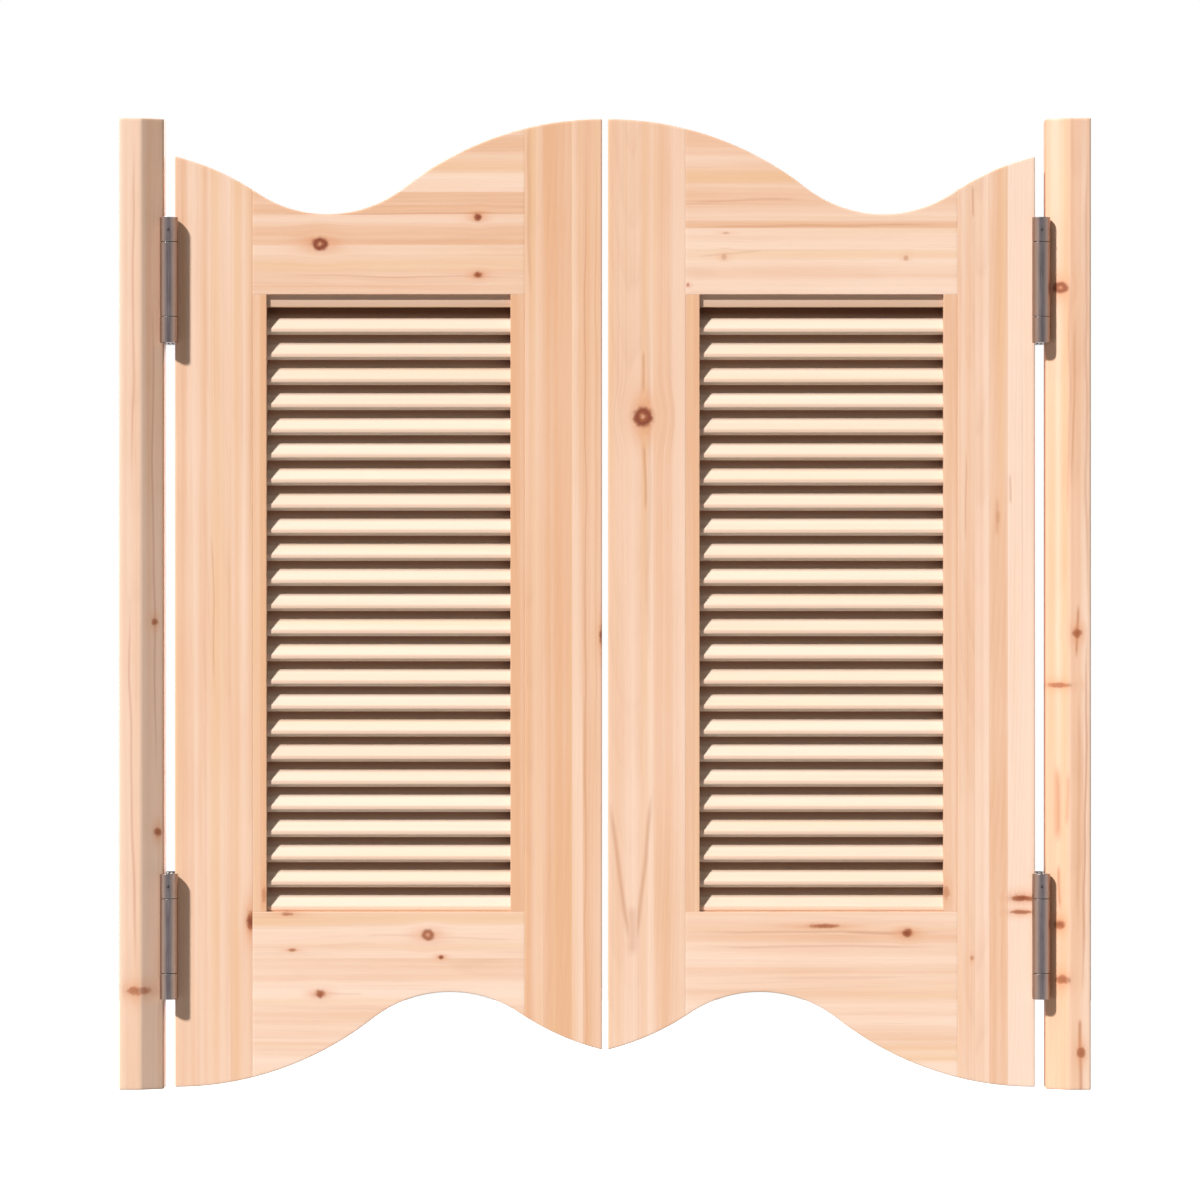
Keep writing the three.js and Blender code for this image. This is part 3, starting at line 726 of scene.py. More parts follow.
def across_leaf(side, near, far):
    """Start and end along X of a board that lies between two distances from the middle."""
    return (-far, -near) if side == "left" else (near, far)


print("rails from the foot to", RAIL_LOW, "and from", RAIL_HIGH, "to the top")

# %% [markdown]
# No two boards of the pair are alike, and the eye knows them by their knots. So each board has its
# own figure: its glue lines and tones, its knots and streaks, and the heart of the trunk that it was
# sawn from. Places are in millimetres on the doors.

# %% Figure of the frame boards
FRAME_FIGURES = {
    "left_hinge_stile": dict(
        strips=[-403, -374], tones=[0.58, 0.42, 0.66],
        knots=[(-354, 168, 5, 9, 1.0)],
        streaks=[(-392, 560, -391, 400, 0.8, 0.35)],
        heart=(-350.0, 90.0, 0.03, 3.5), seed=1.3),
    "left_meeting_stile": dict(
        strips=[-62, -33, -22], tones=[0.70, 0.86, 0.48, 0.62],
        knots=[(-3, 453, 3.0, 10, 0.95)],
        streaks=[
            (-19.5, 975, -19.5, 0, 0.8, 0.35), (-9, 975, -9, 300, 0.6, 0.2),
            (-76, 975, -76, 790, 1.5, 0.3), (-20, 570, -20, 240, 1.2, 0.35)],
        heart=(-75.0, 85.0, 0.04, 3.5), seed=4.1),
    "right_meeting_stile": dict(
        strips=[37, 48], tones=[0.37, 0.50, 0.42],
        knots=[(38, 672, 10.0, 10.0, 1.0)],
        streaks=[
            (38, 740, 38, 694, 1.4, 0.45), (38, 650, 40, 575, 1.7, 0.45), (43, 800, 44, 420, 2.6, 0.20),
            (4, 290, 25, 140, 2.2, 0.42), (47, 300, 30, 140, 2.2, 0.42), (27, 185, 27, 132, 4.5, 0.28)],
        heart=(27.0, 70.0, 0.05, 3.5), seed=7.7),
    "right_hinge_stile": dict(
        strips=[370, 384, 403, 420], tones=[0.36, 0.10, 0.50, -0.36, 0.02],
        knots=[
            (417, 191, 12, 3.2, 0.95), (416, 177, 12, 2.2, 0.80),
            (367, 131, 2.2, 2.6, 0.5), (393, 572, 2.2, 7, 0.25)],
        streaks=[
            (367, 905, 367, 870, 1.0, 0.5), (361, 640, 361, 545, 0.8, 0.35),
            (405, 616, 405, 584, 1.1, 0.35), (393, 592, 392, 552, 1.6, 0.32)],
        heart=(385.0, 80.0, 0.045, 3.5), seed=9.2),
    "left_top_rail": dict(
        strips=[813, 844, 852, 875, 897, 925], tones=[0.40, 0.24, 0.76, 0.56, 0.58, 0.36, 0.50],
        knots=[(-285, 845, 8.0, 6.8, 1.0), (-127, 872, 4.2, 4, 1.0), (-127, 814, 4.0, 3.2, 1.0)],
        streaks=[
            (875.5, -330, 875, -84, 0.7, 0.4), (813.5, -330, 812, -84, 0.7, 0.3),
            (849, -340, 849, -90, 3.0, 0.12)],
        heart=(860.0, 80.0, 0.02, 3.5), seed=11.6),
    "right_top_rail": dict(
        strips=[861, 868], tones=[0.27, 0.78, 0.60],
        knots=[
            (301, 831, 2.5, 3, 0.4), (119, 832, 3, 3.5, 0.35),
            (121, 856, 4, 1.5, 0.35), (83, 804, 1.6, 2.4, 0.6)],
        streaks=[
            (862, 85, 864, 340, 1.2, 0.3), (888, 85, 890, 200, 1.2, 0.25), (833, 90, 838, 160, 1.0, 0.2)],
        heart=(820.0, 70.0, -0.02, 3.5), seed=13.8),
    "left_bottom_rail": dict(
        strips=[131, 139], tones=[0.16, 0.30, 0.12],
        knots=[
            (-177, 154, 6.6, 6.0, 0.84), (-164, 132, 2.6, 2.2, 0.95), (-285, 95, 5.0, 4.2, 0.92),
            (-313, 139, 4.0, 2.0, 0.7), (-318, 175, 6, 2.2, 0.65)],
        streaks=[
            (154, -240, 153, -184, 0.8, 0.16), (152, -170, 150, -90, 0.8, 0.18),
            (95, -280, 94, -240, 1.0, 0.2)],
        heart=(120.0, 80.0, 0.02, 3.5), seed=17.5),
    "right_bottom_rail": dict(
        strips=[129, 155], tones=[0.21, 0.38, 0.22],
        knots=[(219, 163, 16, 2.4, 0.82), (302, 156, 5.2, 4.4, 1.0)],
        streaks=[
            (157, 90, 157, 345, 1.2, 0.3), (142, 95, 143, 340, 1.5, 0.25), (156, 235, 156, 298, 0.8, 0.5)],
        heart=(150.0, 80.0, -0.02, 3.5), seed=19.4),
}
FRAME_PINE = {
    node: pine(f"{node}_pine", node.endswith("stile"), **figure) for node, figure in FRAME_FIGURES.items()
}
print("frame boards with a figure of their own:", len(FRAME_PINE))

# %% [markdown]
# The boards of both leaves are the same lengths, mirrored. A stile is eased along its free edge and
# nearly sharp along the joint, and a rail is eased along the wave alone.

# %% Make the frame boards
STILE_STATIONS = 26
RAIL_STATIONS = 90
ALL_ROUND = (ARRIS, ARRIS)
JOINTED = (JOINT_ARRIS, JOINT_ARRIS)
RAIL_SPAN = (MEETING_END + SEAM, JOINT_END - SEAM)
MEMBERS = {
    "hinge_stile": (
        JOINT_END, LEAF_EDGE, bottom_edge, top_edge, ALL_ROUND, (ARRIS, JOINT_ARRIS), STILE_STATIONS),
    "meeting_stile": (
        LEAF_GAP, MEETING_END, bottom_edge, top_edge, ALL_ROUND, (JOINT_ARRIS, ARRIS), STILE_STATIONS),
    "top_rail": (
        *RAIL_SPAN, level(RAIL_HIGH), top_edge, (JOINT_ARRIS, ARRIS), JOINTED, RAIL_STATIONS),
    "bottom_rail": (
        *RAIL_SPAN, bottom_edge, level(RAIL_LOW), (ARRIS, JOINT_ARRIS), JOINTED, RAIL_STATIONS),
}
for side in ("left", "right"):
    order = 1 if side == "left" else -1
    for member, (near, far, low, high, ease, ends, stations) in MEMBERS.items():
        node = f"{side}_{member}"
        start, end = across_leaf(side, near, far)
        shell = frame_board(start, end, low, high, ease, ends[::order], stations)
        make_piece(f"{node}_board", [shell], FRAME_PINE[node], f"{side}_leaf", "frame_pine", node)

# %% [markdown]
# Each louvre is 24 thin slats. They slope down to the front and their outer edges are planed plumb,
# and the bottom rail hides the edge of the lowest one. A slat is a slim rectangle turned by its tilt
# and carried along X, so its size follows from the tilt and the depth of the leaf.

# %% Shape of a slat
SLAT_COUNT = 24
SLAT_PITCH = 0.02515
SLAT_TILT = math.radians(52)
SLAT_THICKNESS = 0.007
SLAT_RECESS = 0.0028
SLAT_FOOT = -0.0014
SLAT_EASE = 0.0010
SLAT_HOLD = 0.0003
PLUMB_CUT = 0.0024
SLAT_SINE = math.sin(SLAT_TILT)
SLAT_COSINE = math.cos(SLAT_TILT)
SLAT_WIDTH = (2 * LEAF_HALF - 2 * SLAT_RECESS - SLAT_THICKNESS * SLAT_SINE) / SLAT_COSINE
NOSE_DEPTH = SLAT_RECESS - LEAF_HALF + SLAT_THICKNESS * SLAT_SINE
NOSE_HEIGHT = RAIL_LOW + SLAT_FOOT


def slat(start, end, number):
    """Corners from the nose: along the tilt by the slat's width and square to it by its thickness.
    The width fills the depth between the recesses. The foremost and the rearmost corner are cut off
    plumb, by a length c down the edge and c tan(tilt) along the face."""
    nose = np.array([NOSE_DEPTH, NOSE_HEIGHT + number * SLAT_PITCH])
    face = np.array([SLAT_COSINE, SLAT_SINE])
    normal = np.array([-SLAT_SINE, SLAT_COSINE])
    run = SLAT_WIDTH * face
    rise = SLAT_THICKNESS * normal
    along = PLUMB_CUT * math.tan(SLAT_TILT) * face
    square = PLUMB_CUT * normal
    corners = [
        nose, nose + run - along, nose + run + square,
        nose + run + rise, nose + rise + along, nose + rise - square,
    ]
    return carry(0, start, end, steady(corners), SLAT_EASE, JOINTED, SLAT_HOLD)


print("slats", round(SLAT_WIDTH, 4), "m wide,", SLAT_PITCH, "m apart")

# %% [markdown]
# The slats are housed in two side strips, and a head strip closes the space above the topmost one.
# The strips lie a trace behind the faces of the stiles, which is enough to show where they end.

# %% Shape of the strips
STRIP_WIDTH = 0.014
STRIP_SINK = 0.0001
STRIP_EASE = 0.0002
STRIP_HOLD = 0.001
SLAT_HOUSING = 0.004
HEAD_HEIGHT = 0.0122
HEAD_SINK = 0.0042


def strip(start, end, sink, low):
    """A square-edged strip behind the faces of the leaf, from a height up to the top rail."""
    half = LEAF_HALF - sink
    top = RAIL_HIGH - SEAM
    corners = [(-half, low), (half, low), (half, top), (-half, top)]
    return carry(0, start, end, steady(corners), STRIP_EASE, (STRIP_EASE, STRIP_EASE), STRIP_HOLD)


print("clear opening of a louvre:", round(JOINT_END - MEETING_END - 2 * STRIP_WIDTH, 4), "m")

# %% [markdown]
# The louvre is painted dark deep in the gaps between the slats, a painted shade. It begins halfway up
# a slat's upper face, in the shelter of the next one, and lies on the inner faces of the strips just
# behind their front edge. The slats' front and back edges are painted warmer, a painted bounce light
# in their shade. The slats are numbered from the bottom, and those of the right leaf count on from a
# higher number, so the number also gives a slat's height.

# %% Painted shade and painted bounce light in the louvre
NUMBER_STEP = 40
PAINTED_SHADE_RISE = (0.0125, 0.0165)
PAINTED_SHADE_FACE_RISE = (0.0045, 0.006)
PAINTED_SHADE_DEEP_RISE = (0.0160, 0.0250)
PAINTED_SHADE_LEAST, PAINTED_SHADE_MORE = 0.55, 0.43
SLAT_REACH = LEAF_HALF - SLAT_RECESS - PLUMB_CUT * SLAT_SINE
EDGE_RISE = (SLAT_REACH - 0.0012, SLAT_REACH - 0.0001)
EDGE_PAINTED_BOUNCE_SHARE = 0.8
REVEAL_WIDTH = 0.0008
REVEAL_RISE = (0.0010, 0.0030)
REVEAL_PAINTED_SHADE_SHARE = 0.8


def slat_overlay(tree, place):
    """Painted shade and painted bounce light of a slat. With the distances back and up from the slat's
    own nose, back cos + up sin is the place along the slat and up cos - back sin the place square to it.
    The painted shade grows along the upper face, and the warmer painted bounce light lies on the planed
    edges at the greatest depths, before and behind."""
    x, y, z = place
    number = attribute(tree, "number").math("MODULO", float(NUMBER_STEP))
    back = y - NOSE_DEPTH
    up = z - NOSE_HEIGHT - number * SLAT_PITCH
    along = back * SLAT_COSINE + up * SLAT_SINE
    square = up * SLAT_COSINE - back * SLAT_SINE
    deeper = along.step(*PAINTED_SHADE_DEEP_RISE) * PAINTED_SHADE_MORE + PAINTED_SHADE_LEAST
    # painted shade deep on the upper face, where the slat above shades it
    painted_shade = along.step(*PAINTED_SHADE_RISE) * square.step(*PAINTED_SHADE_FACE_RISE) * deeper
    # painted bounce light: a warmer tone on the shaded front and back edges
    edge = abs(y).step(*EDGE_RISE) * EDGE_PAINTED_BOUNCE_SHARE
    return [(edge, SLAT_EDGE_PAINTED_BOUNCE), (painted_shade, LOUVRE_PAINTED_SHADE)]


def strip_overlay(tree, place):
    """Painted shade on the strips' inner faces: a bell of the distance from either face, growing with
    the depth behind the front."""
    x, y, z = place
    out = abs(x)
    near = (out - (MEETING_END + STRIP_WIDTH)).bell(REVEAL_WIDTH)
    far = (out - (JOINT_END - STRIP_WIDTH)).bell(REVEAL_WIDTH)
    # painted shade on the strips' inner faces
    painted_shade = near.most(far) * (y + LEAF_HALF).step(*REVEAL_RISE) * REVEAL_PAINTED_SHADE_SHARE
    return [(painted_shade, LOUVRE_PAINTED_SHADE)]


print("film from", PAINTED_SHADE_RISE[0], "m up a slat")

# %% [markdown]
# The slats have little figure and differ in tone, and the strips are as deep in colour as the darkest
# stile. The head strip is plain, and its tones are painted darker as a painted shade from the top
# rail. All ride on their leaf, and together they stand for the louvre.

# %% Make the louvres
SLAT_PINE = pine(
    "slat_pine", False, [], [0.35], heart=(500.0, 60.0, 0.02, 5.0), seed=23.0,
    light=SLAT_LIGHT, deep=SLAT_DEEP, figure=0.5, spread=0.3, overlay=slat_overlay)
STRIP_PINE = pine(
    "strip_pine", True, [-345, -88, 0, 88, 345], [0.76, 0.98, 0.72, 0.72, 0.98, 0.76],
    knots=[(341, 197, 4, 7, 0.5), (-341, 194, 2.5, 9, 0.5)], seed=27.0, spread=0.12,
    overlay=strip_overlay)
# The head strip's darker tones are painted shade from the top rail.
HEAD_SHADED_PINE = pine("head_strip_shaded_pine", False, [], [0.6], seed=29.0, light=HEAD_SHADED_LIGHT, deep=HEAD_SHADED_DEEP)
for side in ("left", "right"):
    near, far = RAIL_SPAN
    start, end = across_leaf(side, near + STRIP_WIDTH - SLAT_HOUSING, far - STRIP_WIDTH + SLAT_HOUSING)
    first = 0 if side == "left" else NUMBER_STEP
    slats = [slat(start, end, number) for number in range(SLAT_COUNT)]
    make_piece(f"{side}_slats", slats, SLAT_PINE, f"{side}_leaf", "slat_pine", f"{side}_louvre",
               numbers=range(first, first + SLAT_COUNT))
    strips = [
        strip(*across_leaf(side, near, near + STRIP_WIDTH), STRIP_SINK, RAIL_LOW + SEAM),
        strip(*across_leaf(side, far - STRIP_WIDTH, far), STRIP_SINK, RAIL_LOW + SEAM),
    ]
    make_piece(f"{side}_strips", strips, STRIP_PINE, f"{side}_leaf", "slat_pine", numbers=(first, first + 1))
    head = strip(start, end, HEAD_SINK, LOUVRE_HIGH.z - HEAD_HEIGHT)
    make_piece(f"{side}_head_strip", [head], HEAD_SHADED_PINE, f"{side}_leaf", "slat_pine")

# %% [markdown]
# The posts are fixed to the sides of the opening. Their two inner corners are worked off in a broad
# chamfer, which keeps them clear of the turning barrels. The section is carried straight up.

# %% Posts
POST_EASE = 0.0018
POST_END = 0.001
POST_FIGURES = {
    "left": dict(
        strips=[-463], tones=[0.30, 0.50],
        knots=[(-450, 467, 3.2, 3.6, 0.85), (-447, 257, 3.8, 4.6, 0.88), (-465, 99, 13, 4.5, 0.75)],
        streaks=[
            (-452, 800, -449, 300, 1.0, 0.4), (-470, 960, -472, 600, 1.2, 0.35),
            (-476, 500, -468, 110, 1.3, 0.4)],
        heart=(-470.0, 60.0, 0.04, 4.0), seed=31.0),
    "right": dict(
        strips=[463], tones=[0.68, 0.40],
        knots=[
            (455, 801, 8, 6, 0.9), (471, 456, 5, 5, 0.85), (453, 404, 12, 3.0, 0.72),
            (457, 110, 8, 4.8, 0.80), (454, 165, 6, 4.6, 0.88), (475, 37, 4.6, 5.6, 0.82)],
        streaks=[
            (464, 820, 463, 560, 1.3, 0.45), (470, 780, 466, 600, 1.1, 0.35), (451, 325, 452, 245, 3.4, 0.52),
            (452, 316, 453, 250, 1.2, 0.60), (462, 318, 461, 262, 2.0, 0.38), (453, 226, 454, 180, 1.5, 0.60),
            (471, 486, 471, 430, 1.5, 0.70), (475, 72, 475, 38, 1.8, 0.75), (475, 38, 475, -8, 2.0, 0.60),
            (482, 470, 477, 90, 1.2, 0.55), (480, 960, 481, 470, 1.5, 0.40), (474, 400, 472, 160, 2.2, 0.25)],
        heart=(480.0, 60.0, 0.04, 4.0), seed=37.0),
}


def post_corners(low, high, inward):
    """Hexagon in plan: the full depth over the outer half, tapering over the inner half to the
    thickness of the leaf."""
    outer, inner = (low.x, high.x) if inward > 0 else (high.x, low.x)
    shoulder = (outer + inner) / 2
    return [
        (outer, low.y), (shoulder, low.y), (inner, -LEAF_HALF),
        (inner, LEAF_HALF), (shoulder, high.y), (outer, high.y),
    ]


for side, inward in (("left", 1), ("right", -1)):
    low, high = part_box(f"{side}_post")
    corners = post_corners(low, high, inward)
    shell = carry(2, low.z, high.z, steady(corners), POST_EASE, (POST_END, POST_END), BOARD_HOLD)
    post_pine = pine(f"{side}_post_pine", True, **POST_FIGURES[side])
    make_piece(f"{side}_post_timber", [shell], post_pine, "posts", "post_pine", f"{side}_post")

# %% [markdown]
# The hinges are rolled from steel plate with a satin finish: dull grey, faintly streaked along the
# barrels, brighter where edges have rubbed and a little darker in soft clouds and specks. The satin
# steel's dark, cool base is partly a painted reflection of a dark room before the barrels, and toward
# their sides the barrels are painted warmer and paler, a painted reflection of the wood beside them.
# The turned pieces inside the barrels are plainer, with fine rings left by the tool, and the tension
# pins are blackened.

# %% The steel recipe
WEB_LOW, WEB_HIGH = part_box("right_lower_web")
HINGE_LINE = (WEB_LOW.x + WEB_HIGH.x) / 2
BARREL_RADIUS = (WEB_HIGH.x - WEB_LOW.x) / 2
STEEL_CLOUDS = (70.0, 70.0, 45.0)
STEEL_SPECKS = (900.0, 900.0, 900.0)
ROLLED_STREAKS = (900.0, 900.0, 25.0)
TURNED_STREAKS = (40.0, 40.0, 1400.0)
DRAWN_STREAKS = (60.0, 60.0, 60.0)
DIM = 0.62
DIM_RISE, DIM_SHARE = (0.3, 0.75), 0.7
STREAK_RISE, STREAK_SHARE = (0.45, 0.8), 0.35
SPECK_RISE, SPECK_SHARE = (0.68, 0.8), 0.5
PAINTED_REFLECTION_RISE, PAINTED_REFLECTION_SHARE = (0.08, 0.72), 0.88
RUB_RISE, RUB_SHARE = (0.75, 1.15), 0.8
STREAK_ROUGHNESS, CLOUD_ROUGHNESS, MEAN_ROUGHNESS, RUB_POLISH = 0.16, 0.1, 0.13, 0.08
STREAK_RELIEF, SPECK_RELIEF = 0.7, 0.3
STEEL_DEPTH = 0.00008


def steel(name, base, worn, roughness, streak, side=None):
    """Metal whose tone follows long streaks and soft clouds; edges turn to the worn colour.
    `streak` gives the streaks' fineness along X, Y and Z per metre. `side` is a painted reflection of
    the wood: a warmer, paler tone that a barrel takes toward its sides, by the distance from its axis
    along X."""
    material, tree, shader, place = new_material(name)
    streaks = noise(tree, place, streak, 3.0)
    cloud = noise(tree, place, STEEL_CLOUDS, 3.0)
    specks = noise(tree, place, STEEL_SPECKS, 1.0)
    rub = attribute(tree, "wear") * (cloud + streaks).step(*RUB_RISE)
    dim = tuple(part * DIM for part in base)
    layers = [
        (cloud.step(*DIM_RISE) * DIM_SHARE, dim),
        (streaks.step(*STREAK_RISE) * STREAK_SHARE, worn),
        (specks.step(*SPECK_RISE) * SPECK_SHARE, dim),
    ]
    # painted reflection: the barrels turn warmer and paler toward their sides, as if mirroring the wood
    if side is not None:
        off_axis = abs(abs(place[0]) - HINGE_LINE) / BARREL_RADIUS
        layers.append((off_axis.step(*PAINTED_REFLECTION_RISE) * PAINTED_REFLECTION_SHARE, side))
    layers.append((rub * RUB_SHARE, worn))
    connect(tree, layered(tree, base, layers), shader.inputs["Base Color"])
    shader.inputs["Metallic"].default_value = 1.0
    rough = streaks * STREAK_ROUGHNESS + cloud * CLOUD_ROUGHNESS
    rough = rough + (roughness - MEAN_ROUGHNESS) - rub * RUB_POLISH
    connect(tree, rough, shader.inputs["Roughness"])
    add_relief(tree, shader, streaks * STREAK_RELIEF + specks * SPECK_RELIEF, STEEL_DEPTH)
    return material


# The dark, cool base is partly a painted reflection of a dark room before the barrels, and `side` is a
# painted reflection of the wood beside them.
SATIN_STEEL = steel(
    "satin_steel", (0.138, 0.118, 0.124), (0.36, 0.315, 0.295), 0.36, ROLLED_STREAKS,
    side=(0.372, 0.254, 0.200))
TURNED_STEEL = steel("turned_steel", (0.205, 0.195, 0.195), (0.36, 0.34, 0.33), 0.38, TURNED_STREAKS)
PIN_STEEL = steel("pin_steel", (0.060, 0.055, 0.055), (0.14, 0.13, 0.13), 0.62, TURNED_STREAKS)
SPRING_STEEL = steel("spring_steel", (0.09, 0.09, 0.10), (0.25, 0.24, 0.23), 0.42, DRAWN_STREAKS)
print("finishes so far:", len(bpy.data.materials))

# %% [markdown]
# Rolled knuckles and turned pieces are round about the hinge's axis, and plates are flat bars. A
# profile swept round Z makes the first two: a closed profile gives a ring, and a profile from one end
# face to the other a solid. All are made in the hinge's own frame, with the axis on Z.

# %% Tubes, turned solids and plates
ROUND_SIDES = 56
TUBE_EASE = 0.0002
TURNED_WEAR = 0.2
PLATE_EASE = 0.0004
PLATE_HOLD = 0.0003
PLATE_WEAR = 0.2


def around(profile):
    """A profile of radius r and height turned about Z: x = r cos a, y = r sin a."""
    angle = np.linspace(0, 2 * np.pi, ROUND_SIDES, endpoint=False)[:, None]
    radius = profile[None, :, 0]
    height = np.broadcast_to(profile[None, :, 1], (ROUND_SIDES, len(profile)))
    return np.stack([radius * np.cos(angle), radius * np.sin(angle), height], axis=-1)


def tube(radius, bore, zone):
    """A ring with eased rims: the rectangle from bore to outside, swept round the axis."""
    low, high = zone
    corners = np.array([(bore, low), (radius, low), (radius, high), (bore, high)])
    profile = eased(corners, np.full(len(corners), TUBE_EASE), TUBE_EASE)
    return skin(around(profile), np.tile(CORNER_WEAR, len(corners)), loop=True)


def turned(outline):
    """A solid turned about Z from an outline of radius and height, from one end face to the other."""
    return skin(around(np.array(outline)).transpose(1, 0, 2), TURNED_WEAR)


def plate(x0, x1, y0, y1, zone):
    """A flat plate with eased edges, carried up over its zone. Its edges, between leaf and post, are
    little worn."""
    corners = [(x0, y0), (x1, y0), (x1, y1), (x0, y1)]
    shell = carry(2, *zone, steady(corners), PLATE_EASE, (PLATE_EASE, PLATE_EASE), PLATE_HOLD)
    return {**shell, "wear": shell["wear"] * PLATE_WEAR}


def moved(shell, shift):
    """The shell with a shift added to every point."""
    return {**shell, "points": shell["points"] + np.array(shift)}


print("a ring has", len(tube(2.0, 1.0, (0.0, 1.0))["quads"]), "quads")

# %% [markdown]
# A double-action hinge has a flange on the post, a flange on the leaf and a web between them. Each
# flange is a plate with an upper and a lower knuckle rolled at its edge, and the web carries the long
# middle tubes, so each barrel shows three lengths. One half of a hinge is written once and turned
# about Z to the four places that it takes.

# %% Flanges and web
BARREL_REACH = WEB_HIGH.y - BARREL_RADIUS
HINGE_HEIGHT = WEB_HIGH.z - WEB_LOW.z
BARREL_WALL = 0.0015
BORE_RADIUS = BARREL_RADIUS - BARREL_WALL
PLATE_THICKNESS = 0.002
SEAT_GAP = 0.0003
BARREL_CLEARANCE = 0.0008
POST_FACE = -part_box("left_post")[1].x
PLATE_BACK = (POST_FACE - LEAF_EDGE) / 2 - SEAT_GAP
PLATE_FACE = PLATE_THICKNESS - PLATE_BACK
PLATE_HALF = BARREL_REACH - BARREL_RADIUS - BARREL_CLEARANCE
NECK_LAP = 0.001
HAIR = 0.00005
KNUCKLE_GAP = 0.0006
BOTTOM_KNUCKLE = 0.026
TOP_KNUCKLE = 0.0245
BOTTOM_ZONE = (0.0, BOTTOM_KNUCKLE - KNUCKLE_GAP / 2)
MIDDLE_ZONE = (BOTTOM_KNUCKLE + KNUCKLE_GAP / 2, HINGE_HEIGHT - TOP_KNUCKLE - KNUCKLE_GAP / 2)
TOP_ZONE = (HINGE_HEIGHT - TOP_KNUCKLE + KNUCKLE_GAP / 2, HINGE_HEIGHT)


def flange_shells():
    """A plate with two knuckles. The necks between them run a little into both, and they are thinner
    than the plate by a hair, so that no two faces lie on each other."""
    shells = [plate(-PLATE_BACK, PLATE_FACE, -PLATE_HALF, PLATE_HALF, (0.0, HINGE_HEIGHT))]
    tip = BARREL_WALL - BARREL_REACH
    root = NECK_LAP - PLATE_HALF
    for zone in (BOTTOM_ZONE, TOP_ZONE):
        shells.append(plate(HAIR - PLATE_BACK, PLATE_FACE - HAIR, tip, root, zone))
        shells.append(moved(tube(BARREL_RADIUS, BORE_RADIUS, zone), (0, -BARREL_REACH, 0)))
    return shells


def web_shells():
    """A plate with a long tube on each side, and a neck of its own to each tube."""
    half = PLATE_THICKNESS / 2
    tip = BARREL_REACH - BORE_RADIUS - BARREL_WALL / 2
    root = PLATE_HALF - NECK_LAP
    shells = [plate(-half, half, -PLATE_HALF, PLATE_HALF, (0.0, HINGE_HEIGHT))]
    for side in (-1, 1):
        near, far = sorted((side * root, side * tip))
        shells.append(plate(HAIR - half, half - HAIR, near, far, MIDDLE_ZONE))
        shells.append(moved(tube(BARREL_RADIUS, BORE_RADIUS, MIDDLE_ZONE), (0, side * BARREL_REACH, 0)))
    return shells


print("hinge: barrel", BARREL_RADIUS, "reach", BARREL_REACH, "height", HINGE_HEIGHT)

# %% [markdown]
# Inside each barrel only the ends of the turned pieces show: the spindle's broad foot below, the
# tension collar and the spindle's head above, and the pin that stops the collar, which sticks out of
# the upper knuckle.

# %% Turned pieces
SPINDLE_RADIUS = 0.003
TURNED_FIT = 0.0003
TURNED_EASE = 0.0005
FOOT_CROWN = 0.0004
HEAD_SETBACK = 0.001
PIN_RADIUS = 0.0014
PIN_STICKOUT = 0.0035
PIN_TIP = BARREL_RADIUS + PIN_STICKOUT
PIN_HEIGHT = HINGE_HEIGHT - TOP_KNUCKLE / 2
PIN_DOME = 0.6
DOME_STEPS = 4


def spindle_shell():
    """Foot as wide as the bore allows, then the thin spindle up to a head below the rim."""
    foot = BORE_RADIUS - TURNED_FIT
    shoulder = BOTTOM_ZONE[1]
    head = HINGE_HEIGHT - HEAD_SETBACK
    return turned([
        (foot - TURNED_EASE, 0.0), (foot, TURNED_EASE), (foot, shoulder - TURNED_EASE),
        (SPINDLE_RADIUS, shoulder - FOOT_CROWN), (SPINDLE_RADIUS, head - TURNED_EASE),
        (SPINDLE_RADIUS - TURNED_EASE, head),
    ])


def collar_shell():
    """A ring between the spindle and the upper knuckle."""
    zone = (TOP_ZONE[0] + KNUCKLE_GAP / 2, HINGE_HEIGHT - HEAD_SETBACK)
    return tube(BORE_RADIUS - TURNED_FIT, SPINDLE_RADIUS + TURNED_FIT, zone)


def pin_shell():
    """Turned along Z, with a quarter ellipse for its tip, then laid over to point to -Y."""
    root = SPINDLE_RADIUS + 2 * TURNED_FIT
    bend = np.linspace(0, np.pi / 2, DOME_STEPS, endpoint=False)
    height = PIN_TIP - PIN_RADIUS * PIN_DOME * (1 - np.sin(bend))
    tip = np.stack([PIN_RADIUS * np.cos(bend), height], axis=-1)
    shell = turned(np.concatenate([[(PIN_RADIUS, root)], tip]))
    x, y, z = shell["points"].T
    return {**shell, "points": np.stack([x, -z, y + PIN_HEIGHT], axis=-1)}


print("pins stick out to", PIN_TIP, "m from the axis")

# %% [markdown]
# The flanges are held by countersunk screws with a cross recess, four to a flange, to either side of
# its middle in turn. A screw head is a disc in polar steps whose face sinks where either arm of the
# cross passes, which gives the recess without cutting.

# %% Screws
SCREW_RADIUS = 0.0041
SCREW_EASE = 0.0001
SCREW_RING = 0.0036
SCREW_CORE = 0.0022
SCREW_SINK = 0.0017
SCREW_END = 0.0019
SCREW_PROUD = 0.00008
CROSS_HALF = 0.00055
CROSS_REACH = 0.0024
CROSS_DEPTH = 0.0011
CROSS_SLOPE = 0.00015
CROSS_END_SLOPE = 0.0003
CROSS_RUB, CROSS_WEAR = 0.0002, 0.8
CROSS_FIELD = np.linspace(0.00005, 0.0028, 15)
SCREW_MARGIN = 0.018
SCREW_HEIGHTS = np.linspace(SCREW_MARGIN, HINGE_HEIGHT - SCREW_MARGIN, 4)
SCREW_STAGGER = 0.006


